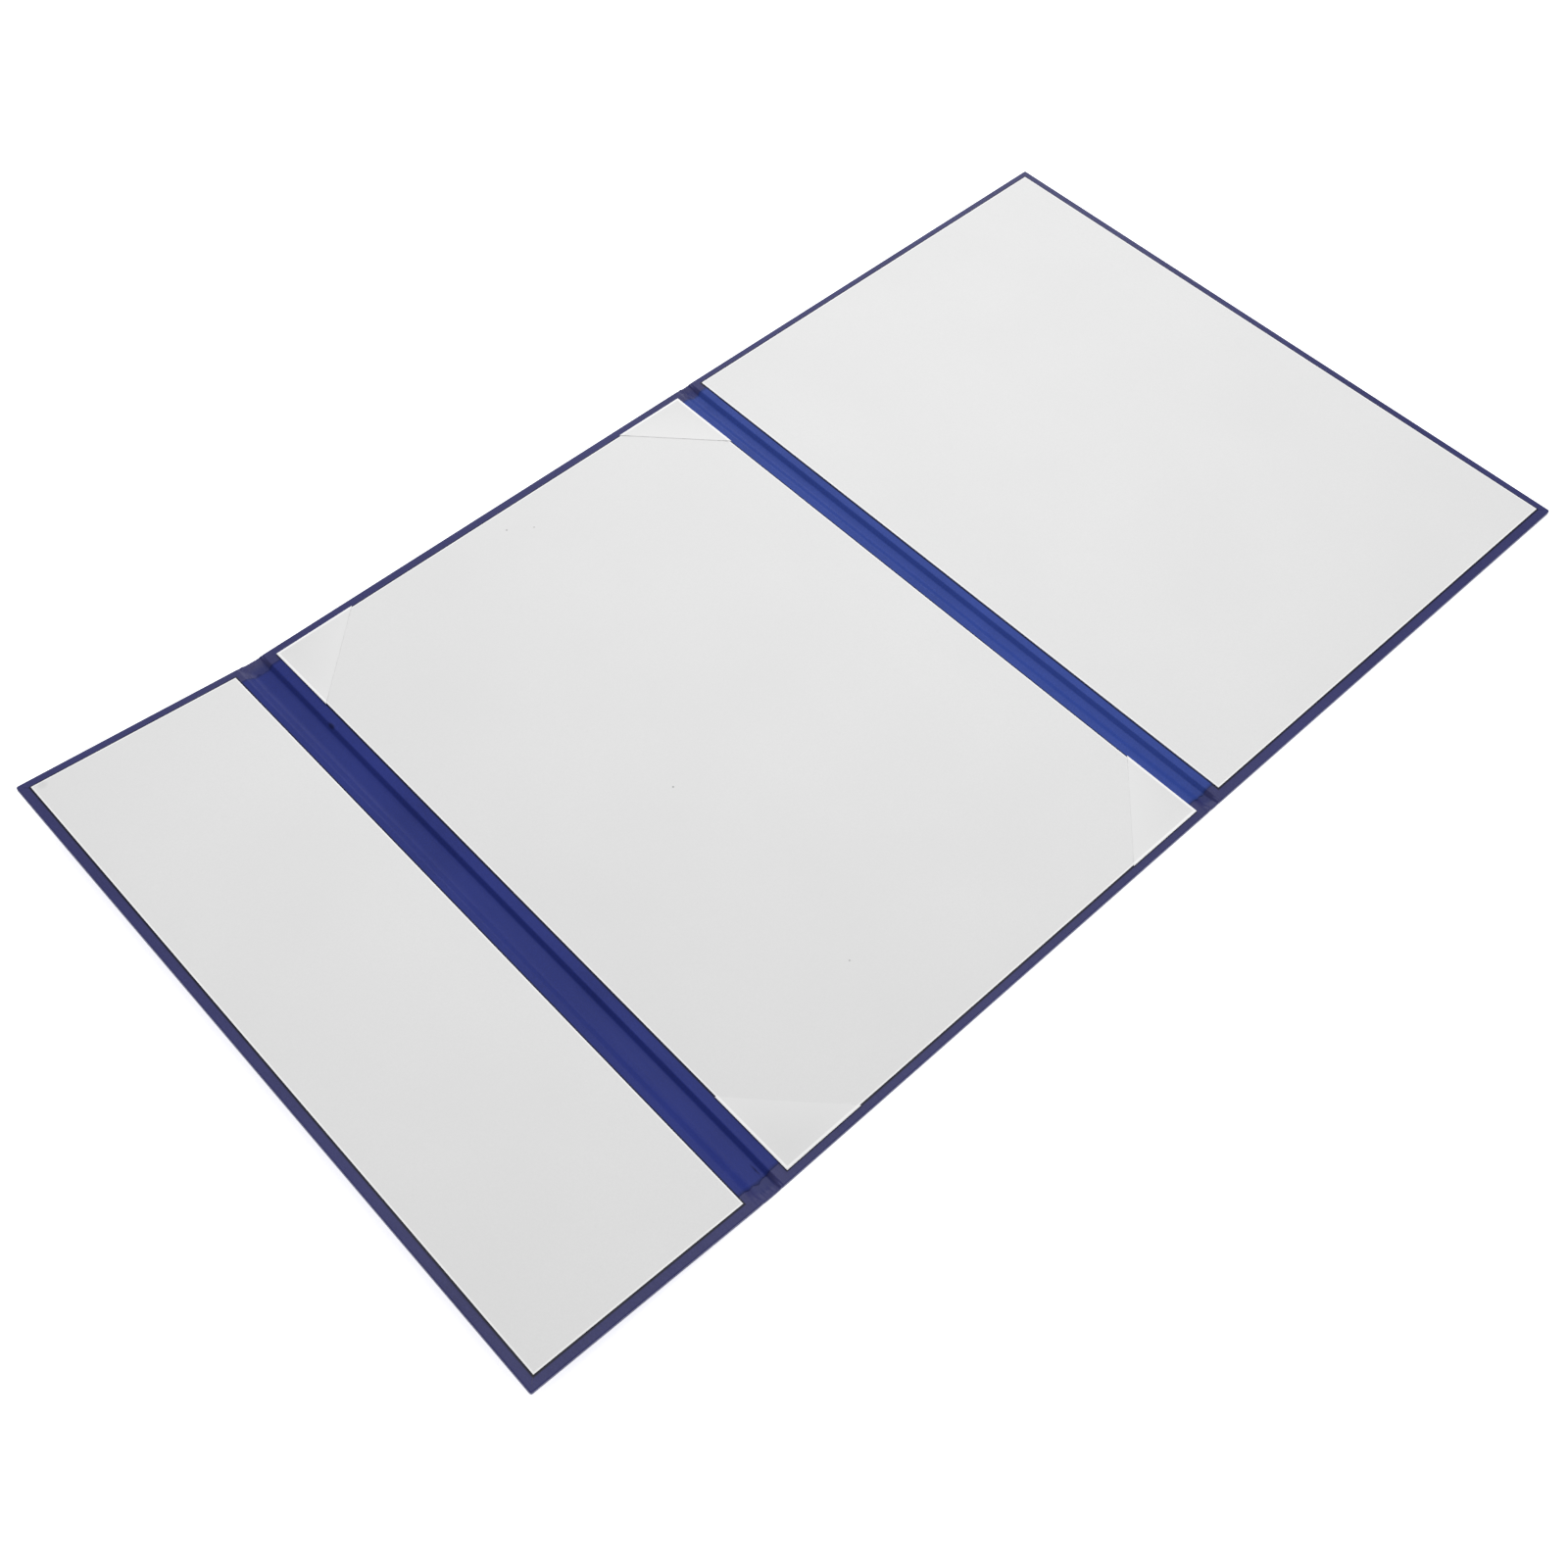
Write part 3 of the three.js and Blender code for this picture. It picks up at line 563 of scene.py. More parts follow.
def hinge_sheet(size, line, normals):
    """Hinge paper from under a liner to the middle of a gap: two skins a paper apart, closed all
    round. Each point stands off the gutter line along its normal by a lift. That is a smooth step
    of one paper over the turned-in strips, and in the gutter also waves, and towards the ends
    pucker and curl, each the size of seeded ripples times a smooth step. The ends are cut
    unevenly by ripples as well."""
    ragged_share, above_bed, lowest_wave, lowest_mark = 0.1, 0.02, -0.01, -0.02
    step_start, step_run, end_run, curl_run = 3.0, 3.4, 5.0, 0.9
    ragged_pitch, ends_apart, wave_pitch = 1.6, 7, (0.5, 0.35)
    reach = HALF_HEIGHT - size["hinge_inset"]
    inner = HALF_HEIGHT - size["turn_in"]
    end_rows = np.concatenate([even(*rows) for rows in HINGE_END_ROWS])
    rows = np.concatenate([-end_rows[::-1], even(*HINGE_ROWS), end_rows])
    along, x = np.meshgrid(rows, line[:, 0])
    in_gap = smooth((levels(size)["bed"] + above_bed - line[:, 1]) / HINGE_SLACK_DEPTH)[:, None]
    torn = ripples(x * ragged_pitch, ends_apart * np.sign(along), seed=11, wave=7.0)
    ragged = HINGE_RAGGED * torn * in_gap
    at_end = smooth((np.abs(along) - 1 + ragged_share) / ragged_share)
    y = along * reach + ragged * np.sign(along) * at_end
    over_strip = smooth((np.abs(y) - inner + step_start) / step_run)
    step = (size["outer_paper"] + size["glue_line"]) * over_strip
    past_end = np.abs(y) - reach
    pucker = HINGE_PUCKER * smooth((past_end + end_run) / end_run) * np.abs(
        ripples(x, y, seed=21, wave=2.2))
    curl = HINGE_CURL * smooth((past_end + curl_run) / curl_run) * np.abs(
        ripples(x, 0 * x, seed=3, wave=3.0))
    swell = ripples(x * wave_pitch[0], y * wave_pitch[1], seed=5, wave=14.0)
    waves = HINGE_WAVE * swell + pucker
    lift = step + (np.maximum(waves, lowest_wave) + curl) * in_gap
    marks = np.maximum(marks_field(x, y), lowest_mark)
    top, under = (np.stack([x + normals[:, :1] * (lift + offset), y,
                            line[:, 1:] + normals[:, 1:] * (lift + offset) + marks], axis=-1)
                  for offset in (size["hinge_paper"], 0.0))
    rims = [np.stack([top[0], under[0]]), np.stack([under[-1], top[-1]]),
            np.stack([under[:, 0], top[:, 0]]), np.stack([top[:, -1], under[:, -1]])]
    return [(top, False), (under, True)] + [(rim, False) for rim in rims]


def marks_field(x, y):
    """Heights of the two marks on the wide gap's paper: near its far end a shallow dent, a hump
    that ripples partly break up, and near its near end a short sharp crease, a narrow hump."""
    broken = 0.4
    pucker = (1 - broken) + broken * ripples(x, y, seed=8, wave=3.0)
    dent = bump_at(x, y, DENT_PLACE, DENT_REACH) * pucker
    return DENT_HEIGHT * dent + CREASE_HEIGHT * bump_at(x, y, CREASE_PLACE, CREASE_REACH)


def slab(span_x, span_y, low, high):
    """A card as a closed skin: a folded edge along all four sides, mitred, and flat fields over
    and under. The top swells gently: by long ripples set low, times a smooth step inwards from
    the edge."""
    width, sunk, swell_at_edge = CARD_STRIP, 0.6, 0.25
    (x0, x1), (y0, y1) = span_x, span_y
    share_x, share_y = even(0, 1, 1 / CARD_ROWS_X), even(0, 1, 1 / CARD_ROWS_Y)
    thick = high - low
    grids = []
    for start, heading, run, share in (
            ((x0, y1), RIGHTWARDS, x1 - x0, share_x), ((x1, y1), DOWNWARDS, y1 - y0, share_y),
            ((x1, y0), LEFTWARDS, x1 - x0, share_x), ((x0, y0), UPWARDS, y1 - y0, share_y)):
        along = np.ones(len(share))
        grids.append(folded_edge(start, heading, run, share, thick * along, CARD_ROUNDING * along,
                                 width, low, mitres=(1, 1)))
    field_x = x0 + width + (x1 - x0 - 2 * width) * share_x
    field_y = y0 + width + (y1 - y0 - 2 * width) * share_y
    grids += [flat_field(field_x, field_y, high), flat_field(field_x, field_y, low)[:, ::-1]]
    for grid in grids:
        x, y, share = grid[..., 0], grid[..., 1], (grid[..., 2] - low) / thick
        inside = np.minimum(np.minimum(x - x0, x1 - x), np.minimum(y - y0, y1 - y))
        waves = ripples(x, y, seed=17, wave=70.0) - sunk
        grid[..., 2] += share * CARD_SWELL * waves * smooth(swell_at_edge + inside / SWELL_REACH)
    return [(grid, False) for grid in grids]


def pocket_skin(size, corner, side_x, side_y, leg_x, leg_y):
    """A corner pocket as a skin: two folded edges that meet on the corner's diagonal. At each
    inset the edge ends where the diagonal cut of the mouth crosses it, so the top is a triangle
    and the tucked part below is cut along the same line."""
    level = levels(size)
    low = level["liner_under"] + size["hinge_paper"] + size["glue_line"]
    high = level["liner"] + size["pocket_mouth"] + size["pocket_paper"]
    proud = size["pocket_fold"]
    tip = (leg_x + proud) * (leg_y + proud) / (leg_x + leg_y + 2 * proud)
    share = even(0, 1, 1 / POCKET_ROWS)
    ones = np.ones(len(share))
    inset, height, on_top = section((high - low) * ones, POCKET_ROUNDING * ones, tip)
    tucked = np.minimum(inset, size["pocket_flap"])
    inset = np.where(on_top[None, :] | (height > TINY), inset, tucked)
    sag = POCKET_SAG * on_top[None, :] * smooth(inset / SAG_REACH)
    grids = []
    for leg, other, across in ((leg_x, leg_y, True), (leg_y, leg_x, False)):
        run = (leg + proud) * (1 - inset / (other + proud))
        along = inset + (run - inset) * share[:, None]
        in_x, in_y = (along, inset) if across else (inset, along)
        grid = np.stack([corner[0] + side_x * proud - side_x * in_x,
                         corner[1] + side_y * proud - side_y * in_y, low + height - sag], axis=-1)
        grids.append((grid, (side_x * side_y > 0) == across))
    return grids


# Objects
def grid_faces(rows, columns, start, flip):
    """Quads of a grid whose points run row by row, as an array of four indices each."""
    index = start + np.arange(rows * columns).reshape(rows, columns)
    quads = np.stack([index[:-1, :-1], index[1:, :-1], index[1:, 1:], index[:-1, 1:]], axis=-1)
    quads = quads.reshape(-1, 4)
    return quads[:, ::-1] if flip else quads


def thicken(piece, thickness):
    """Gives a skin its thickness inwards, with no modifier left."""
    wall = piece.modifiers.new("Paper", "SOLIDIFY")
    wall.thickness = thickness * MM
    wall.offset = -1.0
    wall.use_even_offset = False
    bpy.context.view_layer.update()
    evaluated = piece.evaluated_get(bpy.context.evaluated_depsgraph_get())
    solid = bpy.data.meshes.new_from_object(evaluated)
    piece.modifiers.clear()
    piece.data = solid
    solid.name = piece.name


def make_piece(name, grids, finish, slot, stands_for, body=None, blend=None, thickness=0.0):
    """One object from grids of points. Each grid is (points, flip). Grids that meet are merged, a
    skin gets its thickness inwards, and the result rides on its body, or, where a blend is given,
    stays where it lies without a body."""
    points = [grid.reshape(-1, 3) for grid, _ in grids]
    starts = np.cumsum([0] + [len(part) for part in points])
    faces = np.concatenate([grid_faces(grid.shape[0], grid.shape[1], start, flip)
                            for (grid, flip), start in zip(grids, starts)])
    flat = np.concatenate(points)
    mesh = bpy.data.meshes.new(name)
    mesh.from_pydata(raised(flat) * MM, [], faces)
    mesh.update()
    place = mesh.attributes.new("flat_place", "FLOAT_VECTOR", "POINT")
    place.data.foreach_set("vector", (flat * MM).astype(np.float32).ravel())
    shell = bmesh.new()
    shell.from_mesh(mesh)
    bmesh.ops.remove_doubles(shell, verts=shell.verts, dist=MERGE_METRES)
    bmesh.ops.dissolve_degenerate(shell, edges=shell.edges, dist=SLIVER_METRES)
    shell.to_mesh(mesh)
    shell.free()
    piece = bpy.data.objects.new(name, mesh)
    bpy.context.scene.collection.objects.link(piece)
    if thickness:
        thicken(piece, thickness)
    piece.data.shade_smooth()
    piece.data.set_sharp_from_angle(angle=math.radians(SHARP_DEGREES))
    piece.data.materials.append(finish)
    if blend:
        bodies, places = blend
        start, end = (tuple(raised(np.array([spot]))[0] * MM) for spot in places)
        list(bodies)
        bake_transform(piece)
        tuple(start)
        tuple(end)
    else:
        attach(piece, body)
    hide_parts(*stands_for)


def half_bend(half):
    """The blend of one half of a gap: from the panel's body to the spine's, over the paper that
    bends, a little above the table."""
    (crease_x, height), above_table = half["crease"], 0.2
    reach = math.copysign(bend_reach(height), half["edge"] - half["middle"])
    places = [(crease_x + reach, 0.0, above_table), (crease_x - reach, 0.0, above_table)]
    return (half["panel"], "spine_" + half["gap"]), places


# Materials
class Recipe:
    """Nodes of one new material, and short ways to add more. New pieces carry their place in the
    flat cover, so a pattern that reads it bends with its paper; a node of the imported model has
    only its own place."""

    def __init__(self, name, on_object=False):
        self.material = bpy.data.materials.new(name)
        self.material.use_nodes = True
        self.shader = self.material.node_tree.nodes["Principled BSDF"]
        if on_object:
            self.place = self.add("TexCoord").outputs["Object"]
        else:
            self.place = self.add("Attribute", attribute_name="flat_place").outputs["Vector"]

    def fill(self, node, inputs):
        """Links sockets to other ones, or gives them values."""
        for key, value in inputs.items():
            socket = node.inputs[key]
            if isinstance(value, bpy.types.NodeSocket):
                self.material.node_tree.links.new(value, socket)
            else:
                padded = socket.type == "RGBA" and len(value) == 3
                socket.default_value = (*value, 1.0) if padded else value

    def add(self, kind, inputs=None, **settings):
        """A node of a kind with its settings and inputs."""
        node = self.material.node_tree.nodes.new("ShaderNode" + kind)
        for key, value in settings.items():
            setattr(node, key, value)
        self.fill(node, inputs or {})
        return node

    def maths(self, operation, *values):
        """A calculation with numbers."""
        return self.add("Math", dict(enumerate(values)), operation=operation).outputs[0]

    def vector(self, operation, *values, output="Vector"):
        """A calculation with vectors."""
        return self.add("VectorMath", dict(enumerate(values)), operation=operation).outputs[output]

    def parts(self, vector):
        """The three numbers of a vector."""
        return self.add("SeparateXYZ", {"Vector": vector}).outputs

    def noise(self, scale, detail=3.0, roughness=0.5, stretch=None):
        """Value of a noise of so many waves a metre, stretched if asked."""
        vector = self.place
        if stretch:
            vector = self.add("Mapping", {"Vector": vector, "Scale": stretch}).outputs["Vector"]
        return self.add("TexNoise", {"Vector": vector, "Scale": scale, "Detail": detail,
                                     "Roughness": roughness}).outputs["Fac"]

    def ranged(self, value, low, high, to_low=0.0, to_high=1.0):
        """A value brought from one range to another and held inside it."""
        return self.add("MapRange", {"Value": value, "From Min": low, "From Max": high,
                                     "To Min": to_low, "To Max": to_high}).outputs["Result"]

    def within(self, distance, span, to_low=0.0, to_high=1.0):
        """A distance's place in a span, given in millimetres, brought to a range and held there."""
        return self.ranged(distance, span[0] * MM, span[1] * MM, to_low, to_high)

    def mixed(self, share, first, second):
        """Two colours mixed by a share."""
        return self.add("Mix", {0: share, 6: first, 7: second}, data_type="RGBA").outputs[2]

    def bump(self, height, strength, distance, normal=None):
        """A normal that a height has tilted."""
        inputs = {"Strength": strength, "Distance": distance, "Height": height}
        if normal:
            inputs["Normal"] = normal
        return self.add("Bump", inputs).outputs["Normal"]

    def beyond_cards(self):
        """How far a place lies outside the nearest liner card's outline, in metres, and below 0
        inside it: the greater of the distances past its sides and past its ends, the least of all
        three cards."""
        nearest = None
        for (x0, x1), (y0, y1) in card_spans(sizes()).values():
            centre = ((x0 + x1) / 2 * MM, (y0 + y1) / 2 * MM, 0.0)
            half = ((x1 - x0) / 2 * MM, (y1 - y0) / 2 * MM, 0.0)
            away = self.vector("ABSOLUTE", self.vector("SUBTRACT", self.place, centre))
            past_side, past_end, _ = self.parts(self.vector("SUBTRACT", away, half))
            past = self.maths("MAXIMUM", past_side, past_end)
            nearest = past if nearest is None else self.maths("MINIMUM", past, nearest)
        return nearest


def scaled(colour_value, factor):
    """A colour made lighter or darker."""
    return tuple(min(1.0, channel * factor) for channel in colour_value)


def paper_blue(name, base, roughness, sheen, streaks, shade=0.0, marks=(), paper_end=None):
    """Satin laminated paper: two near tones in soft clouds, a fine fibre grain that shows in
    colour and bump, faint rubbed streaks along the hinges, sparse dust specks, a share of shade
    low in a gutter, a painted shadow along a hinge paper's ragged ends, painted shade in the marks
    of use, and on the upper side a painted shadow line beside the cards, where their edges stand
    over the paper."""
    recipe = Recipe(name)
    mixed, ranged, within = recipe.mixed, recipe.ranged, recipe.within
    maths, vector = recipe.maths, recipe.vector
    clouds = recipe.noise(22.0, detail=4.0)
    fibres = recipe.noise(2600.0, detail=5.0, roughness=0.65, stretch=(1.0, 0.45, 1.0))
    rubbed = recipe.noise(160.0, detail=4.0, roughness=0.6, stretch=(5.0, 0.16, 5.0))
    tone = mixed(ranged(clouds, 0.3, 0.7), scaled(base, 0.90), scaled(base, 1.12))
    tone = mixed(ranged(fibres, 0.42, 0.72, to_high=0.5), tone, scaled(base, 1.55))
    tone = mixed(ranged(rubbed, 0.62, 0.85, to_high=streaks), tone, scaled(base, 2.2))
    specks = recipe.add("TexVoronoi", {"Vector": recipe.place, "Scale": 55.0, "Randomness": 1.0})
    dusty = ranged(specks.outputs["Distance"], 0.008, 0.014, to_low=0.55, to_high=0.0)
    tone = mixed(dusty, tone, (0.30, 0.34, 0.55))
    _, along, height = recipe.parts(recipe.place)
    if shade:
        low = maths("MULTIPLY", within(height, SHADE_TOP, to_low=shade, to_high=0.0),
                    within(height, SHADE_FOOT))
        tone = mixed(low, tone, tuple(part * tint for part, tint in zip(base, SHADE_TINT)))
    # Painted shadow along a hinge paper's ragged end: darker over the last stretch before the end
    if paper_end:
        ends = (paper_end - END_SHADOW_WIDTH, paper_end)
        end_shadow = within(maths("ABSOLUTE", along), ends, to_high=0.6)
        tone = mixed(end_shadow, tone, scaled(base, 0.3))
    # Painted shade in the dent and along the crease: the paper is darkened round each mark's place
    for mark_x, mark_y, reach_x, reach_y, share in marks:
        away = vector("SUBTRACT", recipe.place, (mark_x * MM, mark_y * MM, 0.0))
        away = vector("MULTIPLY", away, (1 / (reach_x * MM), 1 / (reach_y * MM), 0.0))
        away = vector("LENGTH", away, output="Value")
        marked = ranged(away, 0.4, 1.0, to_low=share, to_high=0.0)
        tone = mixed(marked, tone, scaled(base, 0.2))
    # Painted shadow line just outside each card's edge, where the card stands over the paper, on
    # the upper side only
    card_shadow_line = within(recipe.beyond_cards(), CARD_SHADOW_SPAN, to_low=0.96, to_high=0.0)
    card_shadow = maths("MULTIPLY", card_shadow_line, within(height, UPPER_SIDE))
    tone = mixed(card_shadow, tone, scaled(base, 0.15))
    gloss = mixed(ranged(rubbed, 0.35, 0.8), (roughness - 0.05,) * 3, (roughness + 0.09,) * 3)
    grain = recipe.bump(fibres, strength=0.35, distance=0.06 * MM)
    swell = recipe.bump(recipe.noise(130.0, detail=2.0), strength=0.25, distance=0.6 * MM,
                        normal=grain)
    recipe.fill(recipe.shader, {"Base Color": tone, "Roughness": gloss, "Normal": swell,
                                "Specular IOR Level": sheen})
    return recipe.material


def card_white(name, base, tooth, marks=(), pocket_corner=None):
    """Uncoated white card: a faint mottling, a fine tooth in the bump, a painted highlight on the
    rim where the card's cut edge catches the light, and a few tiny inclusions at given places. A
    pocket's paper is painted lighter towards its mouth, where it rises and catches more light, so
    with the sum of the distances in from its corner's two sides."""
    recipe = Recipe(name)
    mixed, ranged, within, vector = recipe.mixed, recipe.ranged, recipe.within, recipe.vector
    clouds = recipe.noise(16.0, detail=5.0)
    pulp = recipe.noise(1400.0, detail=6.0, roughness=0.7)
    tone = mixed(ranged(clouds, 0.3, 0.7), scaled(base, 0.985), scaled(base, 1.012))
    tone = mixed(ranged(pulp, 0.35, 0.65, to_high=0.5), tone, scaled(base, 0.955))
    # Painted light: a pocket's paper grows lighter away from its corner, towards its mouth
    if pocket_corner:
        corner = (pocket_corner[0] * MM, pocket_corner[1] * MM, 0.0)
        inwards = vector("SUBTRACT", corner, vector("ABSOLUTE", recipe.place))
        across, along, _ = recipe.parts(inwards)
        inwards = recipe.maths("ADD", across, along)
        tone = mixed(within(inwards, POCKET_LIGHTER), tone, scaled(base, 1.03))
    # Painted highlight along the card's cut rim, just inside its outline
    rim_highlight = within(recipe.beyond_cards(), RIM_HIGHLIGHT)
    tone = mixed(rim_highlight, tone, scaled(base, 1.22))
    for mark_x, mark_y, reach, share in marks:
        centre = (mark_x * MM, mark_y * MM, SPECK_HEIGHT * MM)
        away = vector("DISTANCE", recipe.place, centre, output="Value")
        marked = within(away, (reach * 0.4, reach), to_low=share, to_high=0.0)
        tone = mixed(marked, tone, scaled(base, 0.30))
    recipe.fill(recipe.shader, {
        "Base Color": tone,
        "Roughness": ranged(pulp, 0.3, 0.7, to_low=0.62, to_high=0.78),
        "Normal": recipe.bump(pulp, strength=tooth, distance=0.05 * MM),
        "Specular IOR Level": 0.25})
    return recipe.material


def greyboard(name, base):
    """Recycled greyboard: dark and light fibre flecks over grey, rough all over."""
    recipe = Recipe(name, on_object=True)
    mixed, ranged = recipe.mixed, recipe.ranged
    flecks = recipe.noise(900.0, detail=5.0, roughness=0.7, stretch=(1.0, 0.4, 1.0))
    layers = recipe.noise(300.0, detail=3.0, roughness=0.6, stretch=(0.2, 0.2, 8.0))
    tone = mixed(ranged(flecks, 0.35, 0.7), scaled(base, 0.7), scaled(base, 1.3))
    tone = mixed(ranged(layers, 0.4, 0.7, to_high=0.4), tone, scaled(base, 0.8))
    recipe.fill(recipe.shader, {
        "Base Color": tone,
        "Roughness": ranged(flecks, 0.3, 0.7, to_low=0.85, to_high=0.97),
        "Normal": recipe.bump(flecks, strength=0.5, distance=0.1 * MM)})
    return recipe.material


def pale_floor(name):
    """The studio's floor: pale, matt and faintly glowing."""
    recipe = Recipe(name, on_object=True)
    tone = recipe.mixed(recipe.noise(3.0), (0.93,) * 3, (0.95,) * 3)
    recipe.fill(recipe.shader, {"Base Color": tone, "Roughness": 0.9,
                                "Emission Color": (1, 1, 1), "Emission Strength": FLOOR_GLOW})
    return recipe.material


def material_of(name, maker, *values, **options):
    """The material of that name, made once."""
    return bpy.data.materials.get(name) or maker(name, *values, **options)


def hinge_finish(gap):
    """Finish of the hinge paper of a gap."""
    base = colours().wide_hinge if gap == "wide" else colours().narrow_hinge
    return material_of("satin_%s_hinge_paper" % gap, paper_blue, tuple(base), roughness=0.42,
                       sheen=0.15, streaks=0.16, marks=BLUE_MARKS if gap == "wide" else (),
                       paper_end=HALF_HEIGHT - sizes()["hinge_inset"])


# Operators
class DIPLOMACOVER_OT_boards(bpy.types.Operator):
    """Greyboards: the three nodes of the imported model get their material"""
    bl_idname = "diploma_cover.boards"
    bl_label = "Greyboards"

    def execute(self, context):
        finish = material_of("flecked_greyboard", greyboard, tuple(colours().board))
        for name in ("board_flap", "board_middle", "board_cover"):
            board = frame["nodes"][name]
            board.data.materials.clear()
            board.data.materials.append(finish)
        return {"FINISHED"}


class DIPLOMACOVER_OT_outer_sheet(bpy.types.Operator):
    """Outer sheet: one blue paper under the boards and gaps, turned in over all edges"""
    bl_idname = "diploma_cover.outer_sheet"
    bl_label = "Outer sheet"

    def execute(self, context):
        size = sizes()
        finish = material_of("satin_outer_paper", paper_blue, tuple(colours().outer),
                             roughness=0.38, sheen=0.22, streaks=0.10, shade=0.65)
        common = {"finish": finish, "slot": "outer_paper", "thickness": size["outer_paper"]}
        for name, *place in panels(size):
            make_piece("outer_sheet_" + name, panel_sheet(size, *place),
                       stands_for=("wrap_" + name,), body=name, **common)
        for half in gap_halves(size):
            make_piece("outer_sheet_%s_gap_%s" % (half["gap"], half["panel"]),
                       gap_sheet(size, *gap_line(size, half, SEAM_INSET)),
                       stands_for=("wrap_spine_" + half["gap"],), blend=half_bend(half), **common)
        return {"FINISHED"}


class DIPLOMACOVER_OT_hinge_papers(bpy.types.Operator):
    """Hinge papers: the blue papers that line both gaps, from under one liner to the next"""
    bl_idname = "diploma_cover.hinge_papers"
    bl_label = "Hinge papers"

    def execute(self, context):
        size = sizes()
        for half in gap_halves(size):
            names = half["gap"], half["panel"]
            line = gap_line(size, half, half["margin"] + size["hinge_underlap"])
            make_piece("hinge_paper_%s_%s" % names, hinge_sheet(size, *line),
                       hinge_finish(half["gap"]), "hinge_paper",
                       ("hinge_%s_%s" % names, "hinge_%s_spine" % half["gap"]),
                       blend=half_bend(half))
        return {"FINISHED"}


class DIPLOMACOVER_OT_liners(bpy.types.Operator):
    """Liners: the white cards on the three panels"""
    bl_idname = "diploma_cover.liners"
    bl_label = "Liners"

    def execute(self, context):
        size = sizes()
        level = levels(size)
        finish = material_of("white_liner_card", card_white, tuple(colours().card), tooth=0.4,
                             marks=CARD_MARKS)
        for name, (span_x, span_y) in card_spans(size).items():
            make_piece("liner_card_" + name,
                       slab(span_x, span_y, level["liner_under"], level["liner"]), finish,
                       "liner_card", ("liner_" + name,), body=name)
        return {"FINISHED"}


class DIPLOMACOVER_OT_pockets(bpy.types.Operator):
    """Corner pockets: white papers folded round the middle liner's corners"""
    bl_idname = "diploma_cover.pockets"
    bl_label = "Corner pockets"

    def execute(self, context):
        size = sizes()
        low, high = MIDDLE_LINER
        finish = material_of("white_pocket_paper", card_white, tuple(colours().pocket),
                             tooth=0.25, pocket_corner=(high[0], high[1]))
        for name, (side_x, side_y, leg_x, leg_y) in POCKETS.items():
            corner = (high[0] if side_x > 0 else low[0], high[1] if side_y > 0 else low[1])
            make_piece("corner_" + name, pocket_skin(size, corner, side_x, side_y, leg_x, leg_y),
                       finish, "pocket_paper", (name,), body="middle",
                       thickness=size["pocket_paper"])
        return {"FINISHED"}


def area_light(name, place, aim, size_m, power):
    """A soft rectangular lamp that shines from its place towards an aim."""
    lamp = bpy.data.lights.new(name, "AREA")
    lamp.shape = "RECTANGLE"
    lamp.size, lamp.size_y = size_m
    lamp.energy = power
    holder = bpy.data.objects.new(name, lamp)
    bpy.context.scene.collection.objects.link(holder)
    holder.location = place
    holder.rotation_euler = (Vector(aim) - Vector(place)).to_track_quat("-Z", "Y").to_euler()


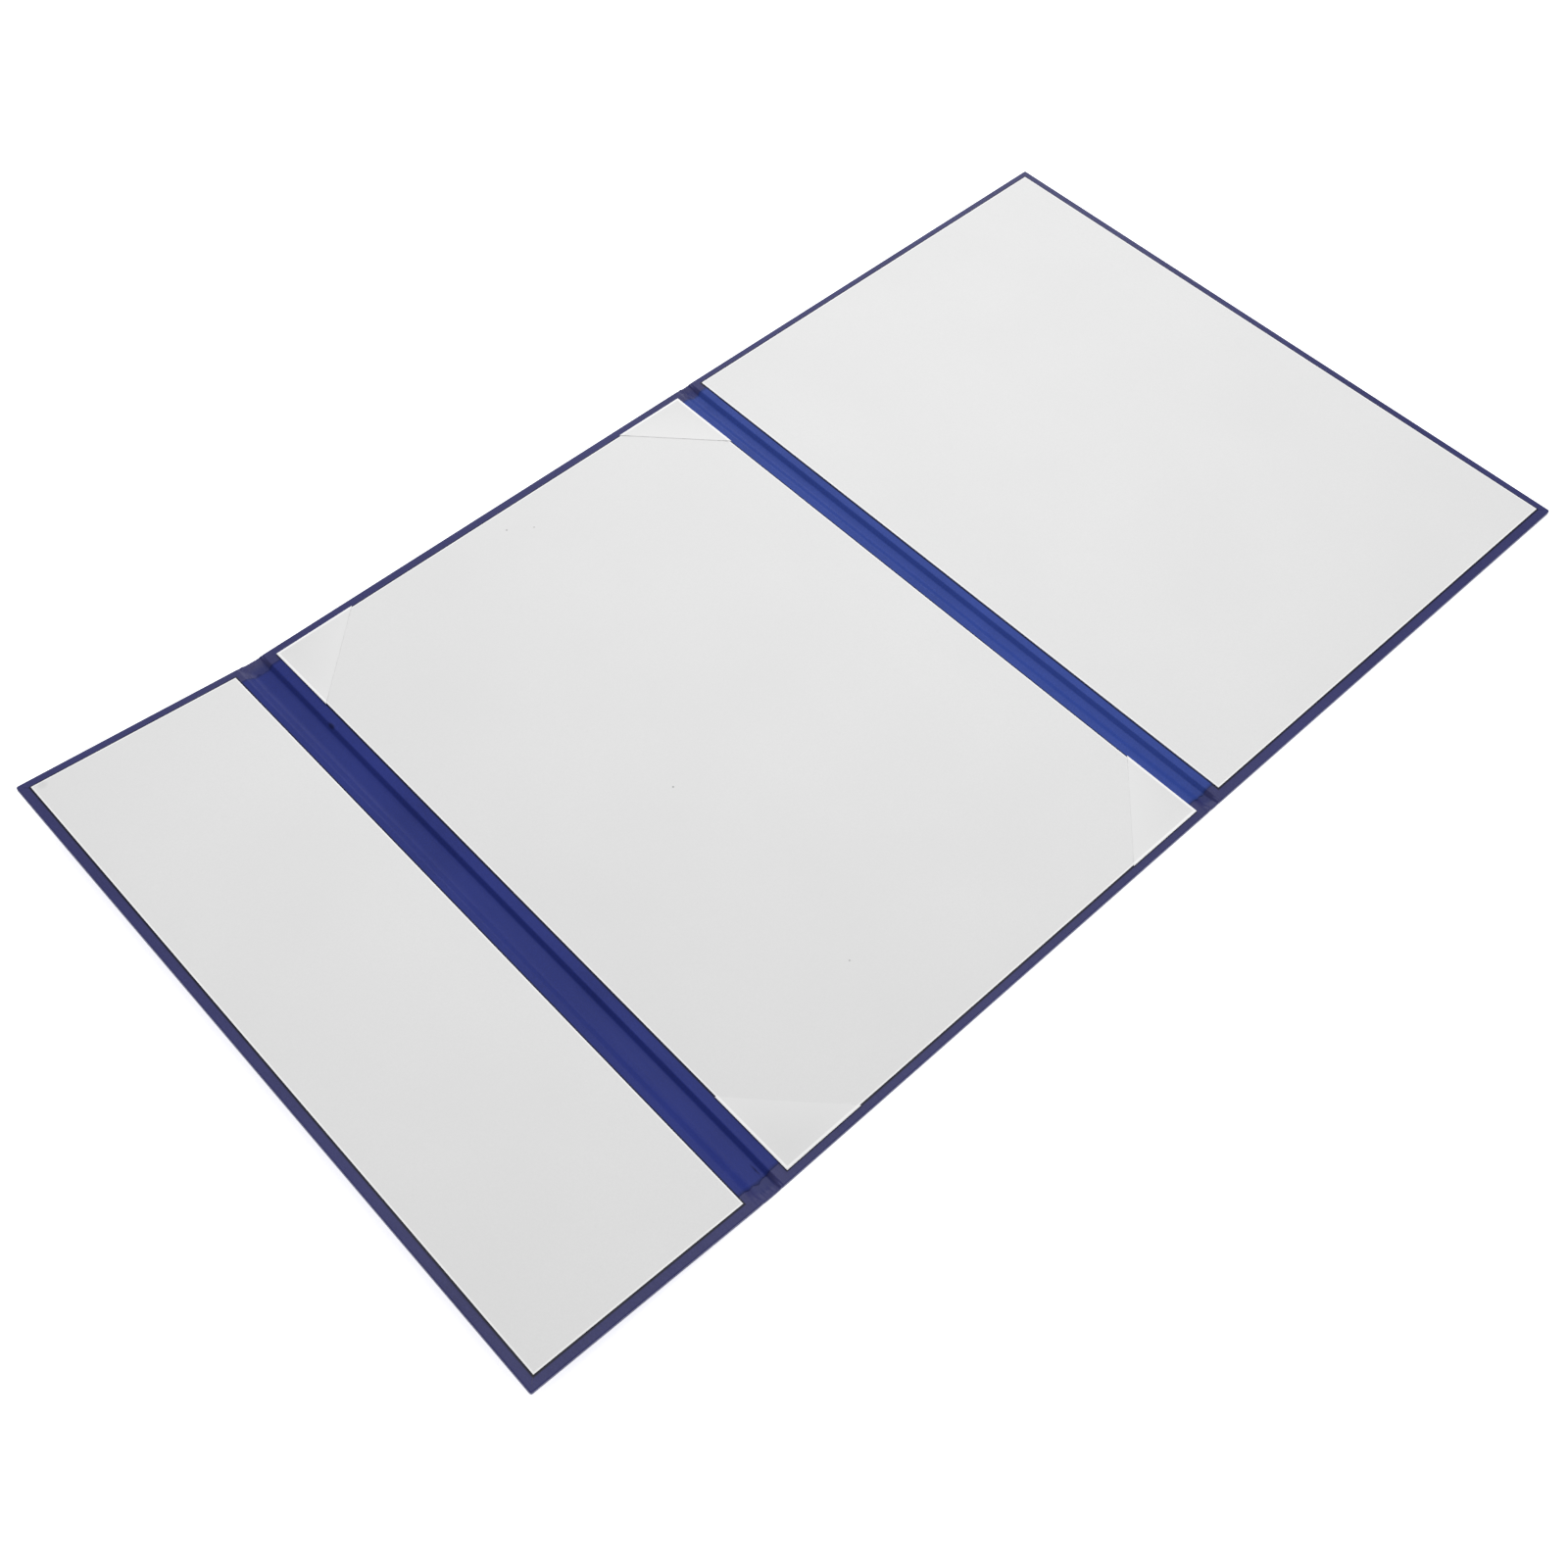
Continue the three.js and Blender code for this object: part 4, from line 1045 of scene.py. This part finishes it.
class DIPLOMACOVER_OT_studio(bpy.types.Operator):
    """Studio: pale floor, soft light and the camera"""
    bl_idname = "diploma_cover.studio"
    bl_label = "Studio"

    def execute(self, context):
        scene = context.scene
        scene.view_settings.view_transform = "Standard"
        floor_mesh = bpy.data.meshes.new("studio_floor")
        corners = [(-1, -1), (1, -1), (1, 1), (-1, 1)]
        floor_mesh.from_pydata([(x * FLOOR_REACH, y * FLOOR_REACH, FLOOR_LEVEL)
                                for x, y in corners], [], [(0, 1, 2, 3)])
        floor = bpy.data.objects.new("studio_floor", floor_mesh)
        scene.collection.objects.link(floor)
        floor_mesh.materials.append(material_of("pale_floor", pale_floor))

        world = bpy.data.worlds.new("soft_studio")
        world.use_nodes = True
        background = world.node_tree.nodes["Background"]
        background.inputs["Color"].default_value = (1.0, 1.0, 1.0, 1.0)
        background.inputs["Strength"].default_value = SKY_STRENGTH
        scene.world = world
        for name, values in LAMPS.items():
            area_light(name, *values)

        lens = bpy.data.cameras.new("photo_camera")
        lens.sensor_width = SENSOR_MM
        lens.lens = FOCAL_MM
        lens.clip_start = CLIP_START
        camera = bpy.data.objects.new("photo_camera", lens)
        scene.collection.objects.link(camera)
        camera.matrix_world = CAMERA_PLACE
        scene.camera = camera
        return {"FINISHED"}


OPERATORS = (
    DIPLOMACOVER_OT_studio,
    DIPLOMACOVER_OT_boards,
    DIPLOMACOVER_OT_outer_sheet,
    DIPLOMACOVER_OT_hinge_papers,
    DIPLOMACOVER_OT_liners,
    DIPLOMACOVER_OT_pockets,
)


class DIPLOMACOVER_PT_panel(bpy.types.Panel):
    """Sidebar panel that lists the sizes, colours and pieces"""
    bl_idname = "DIPLOMACOVER_PT_panel"
    bl_label = "Diploma cover"
    bl_space_type = "VIEW_3D"
    bl_region_type = "UI"
    bl_category = "Diploma cover"

    def draw(self, context):
        layout = self.layout
        for group in (context.scene.diploma_cover_sizes, context.scene.diploma_cover_colours):
            box = layout.box()
            for name in own_names(group):
                box.prop(group, name)
        for operator in OPERATORS:
            layout.operator(operator.bl_idname)


CLASSES = (DiplomaCoverSizes, DiplomaCoverColours, *OPERATORS, DIPLOMACOVER_PT_panel)


def register():
    """Adds the classes, and their sizes and colours to the scene."""
    for cls in CLASSES:
        bpy.utils.register_class(cls)
    bpy.types.Scene.diploma_cover_sizes = PointerProperty(type=DiplomaCoverSizes)
    bpy.types.Scene.diploma_cover_colours = PointerProperty(type=DiplomaCoverColours)


def unregister():
    """Takes all of it away again, last first."""
    del bpy.types.Scene.diploma_cover_colours
    del bpy.types.Scene.diploma_cover_sizes
    for cls in reversed(CLASSES):
        bpy.utils.unregister_class(cls)


def main():
    """Makes every piece in order."""
    register()
    for operator in OPERATORS:
        group, name = operator.bl_idname.split(".")
        result = getattr(getattr(bpy.ops, group), name)()
        if result != {"FINISHED"}:
            raise RuntimeError(operator.bl_label + " could not be made")


if __name__ == "__main__":
    main()
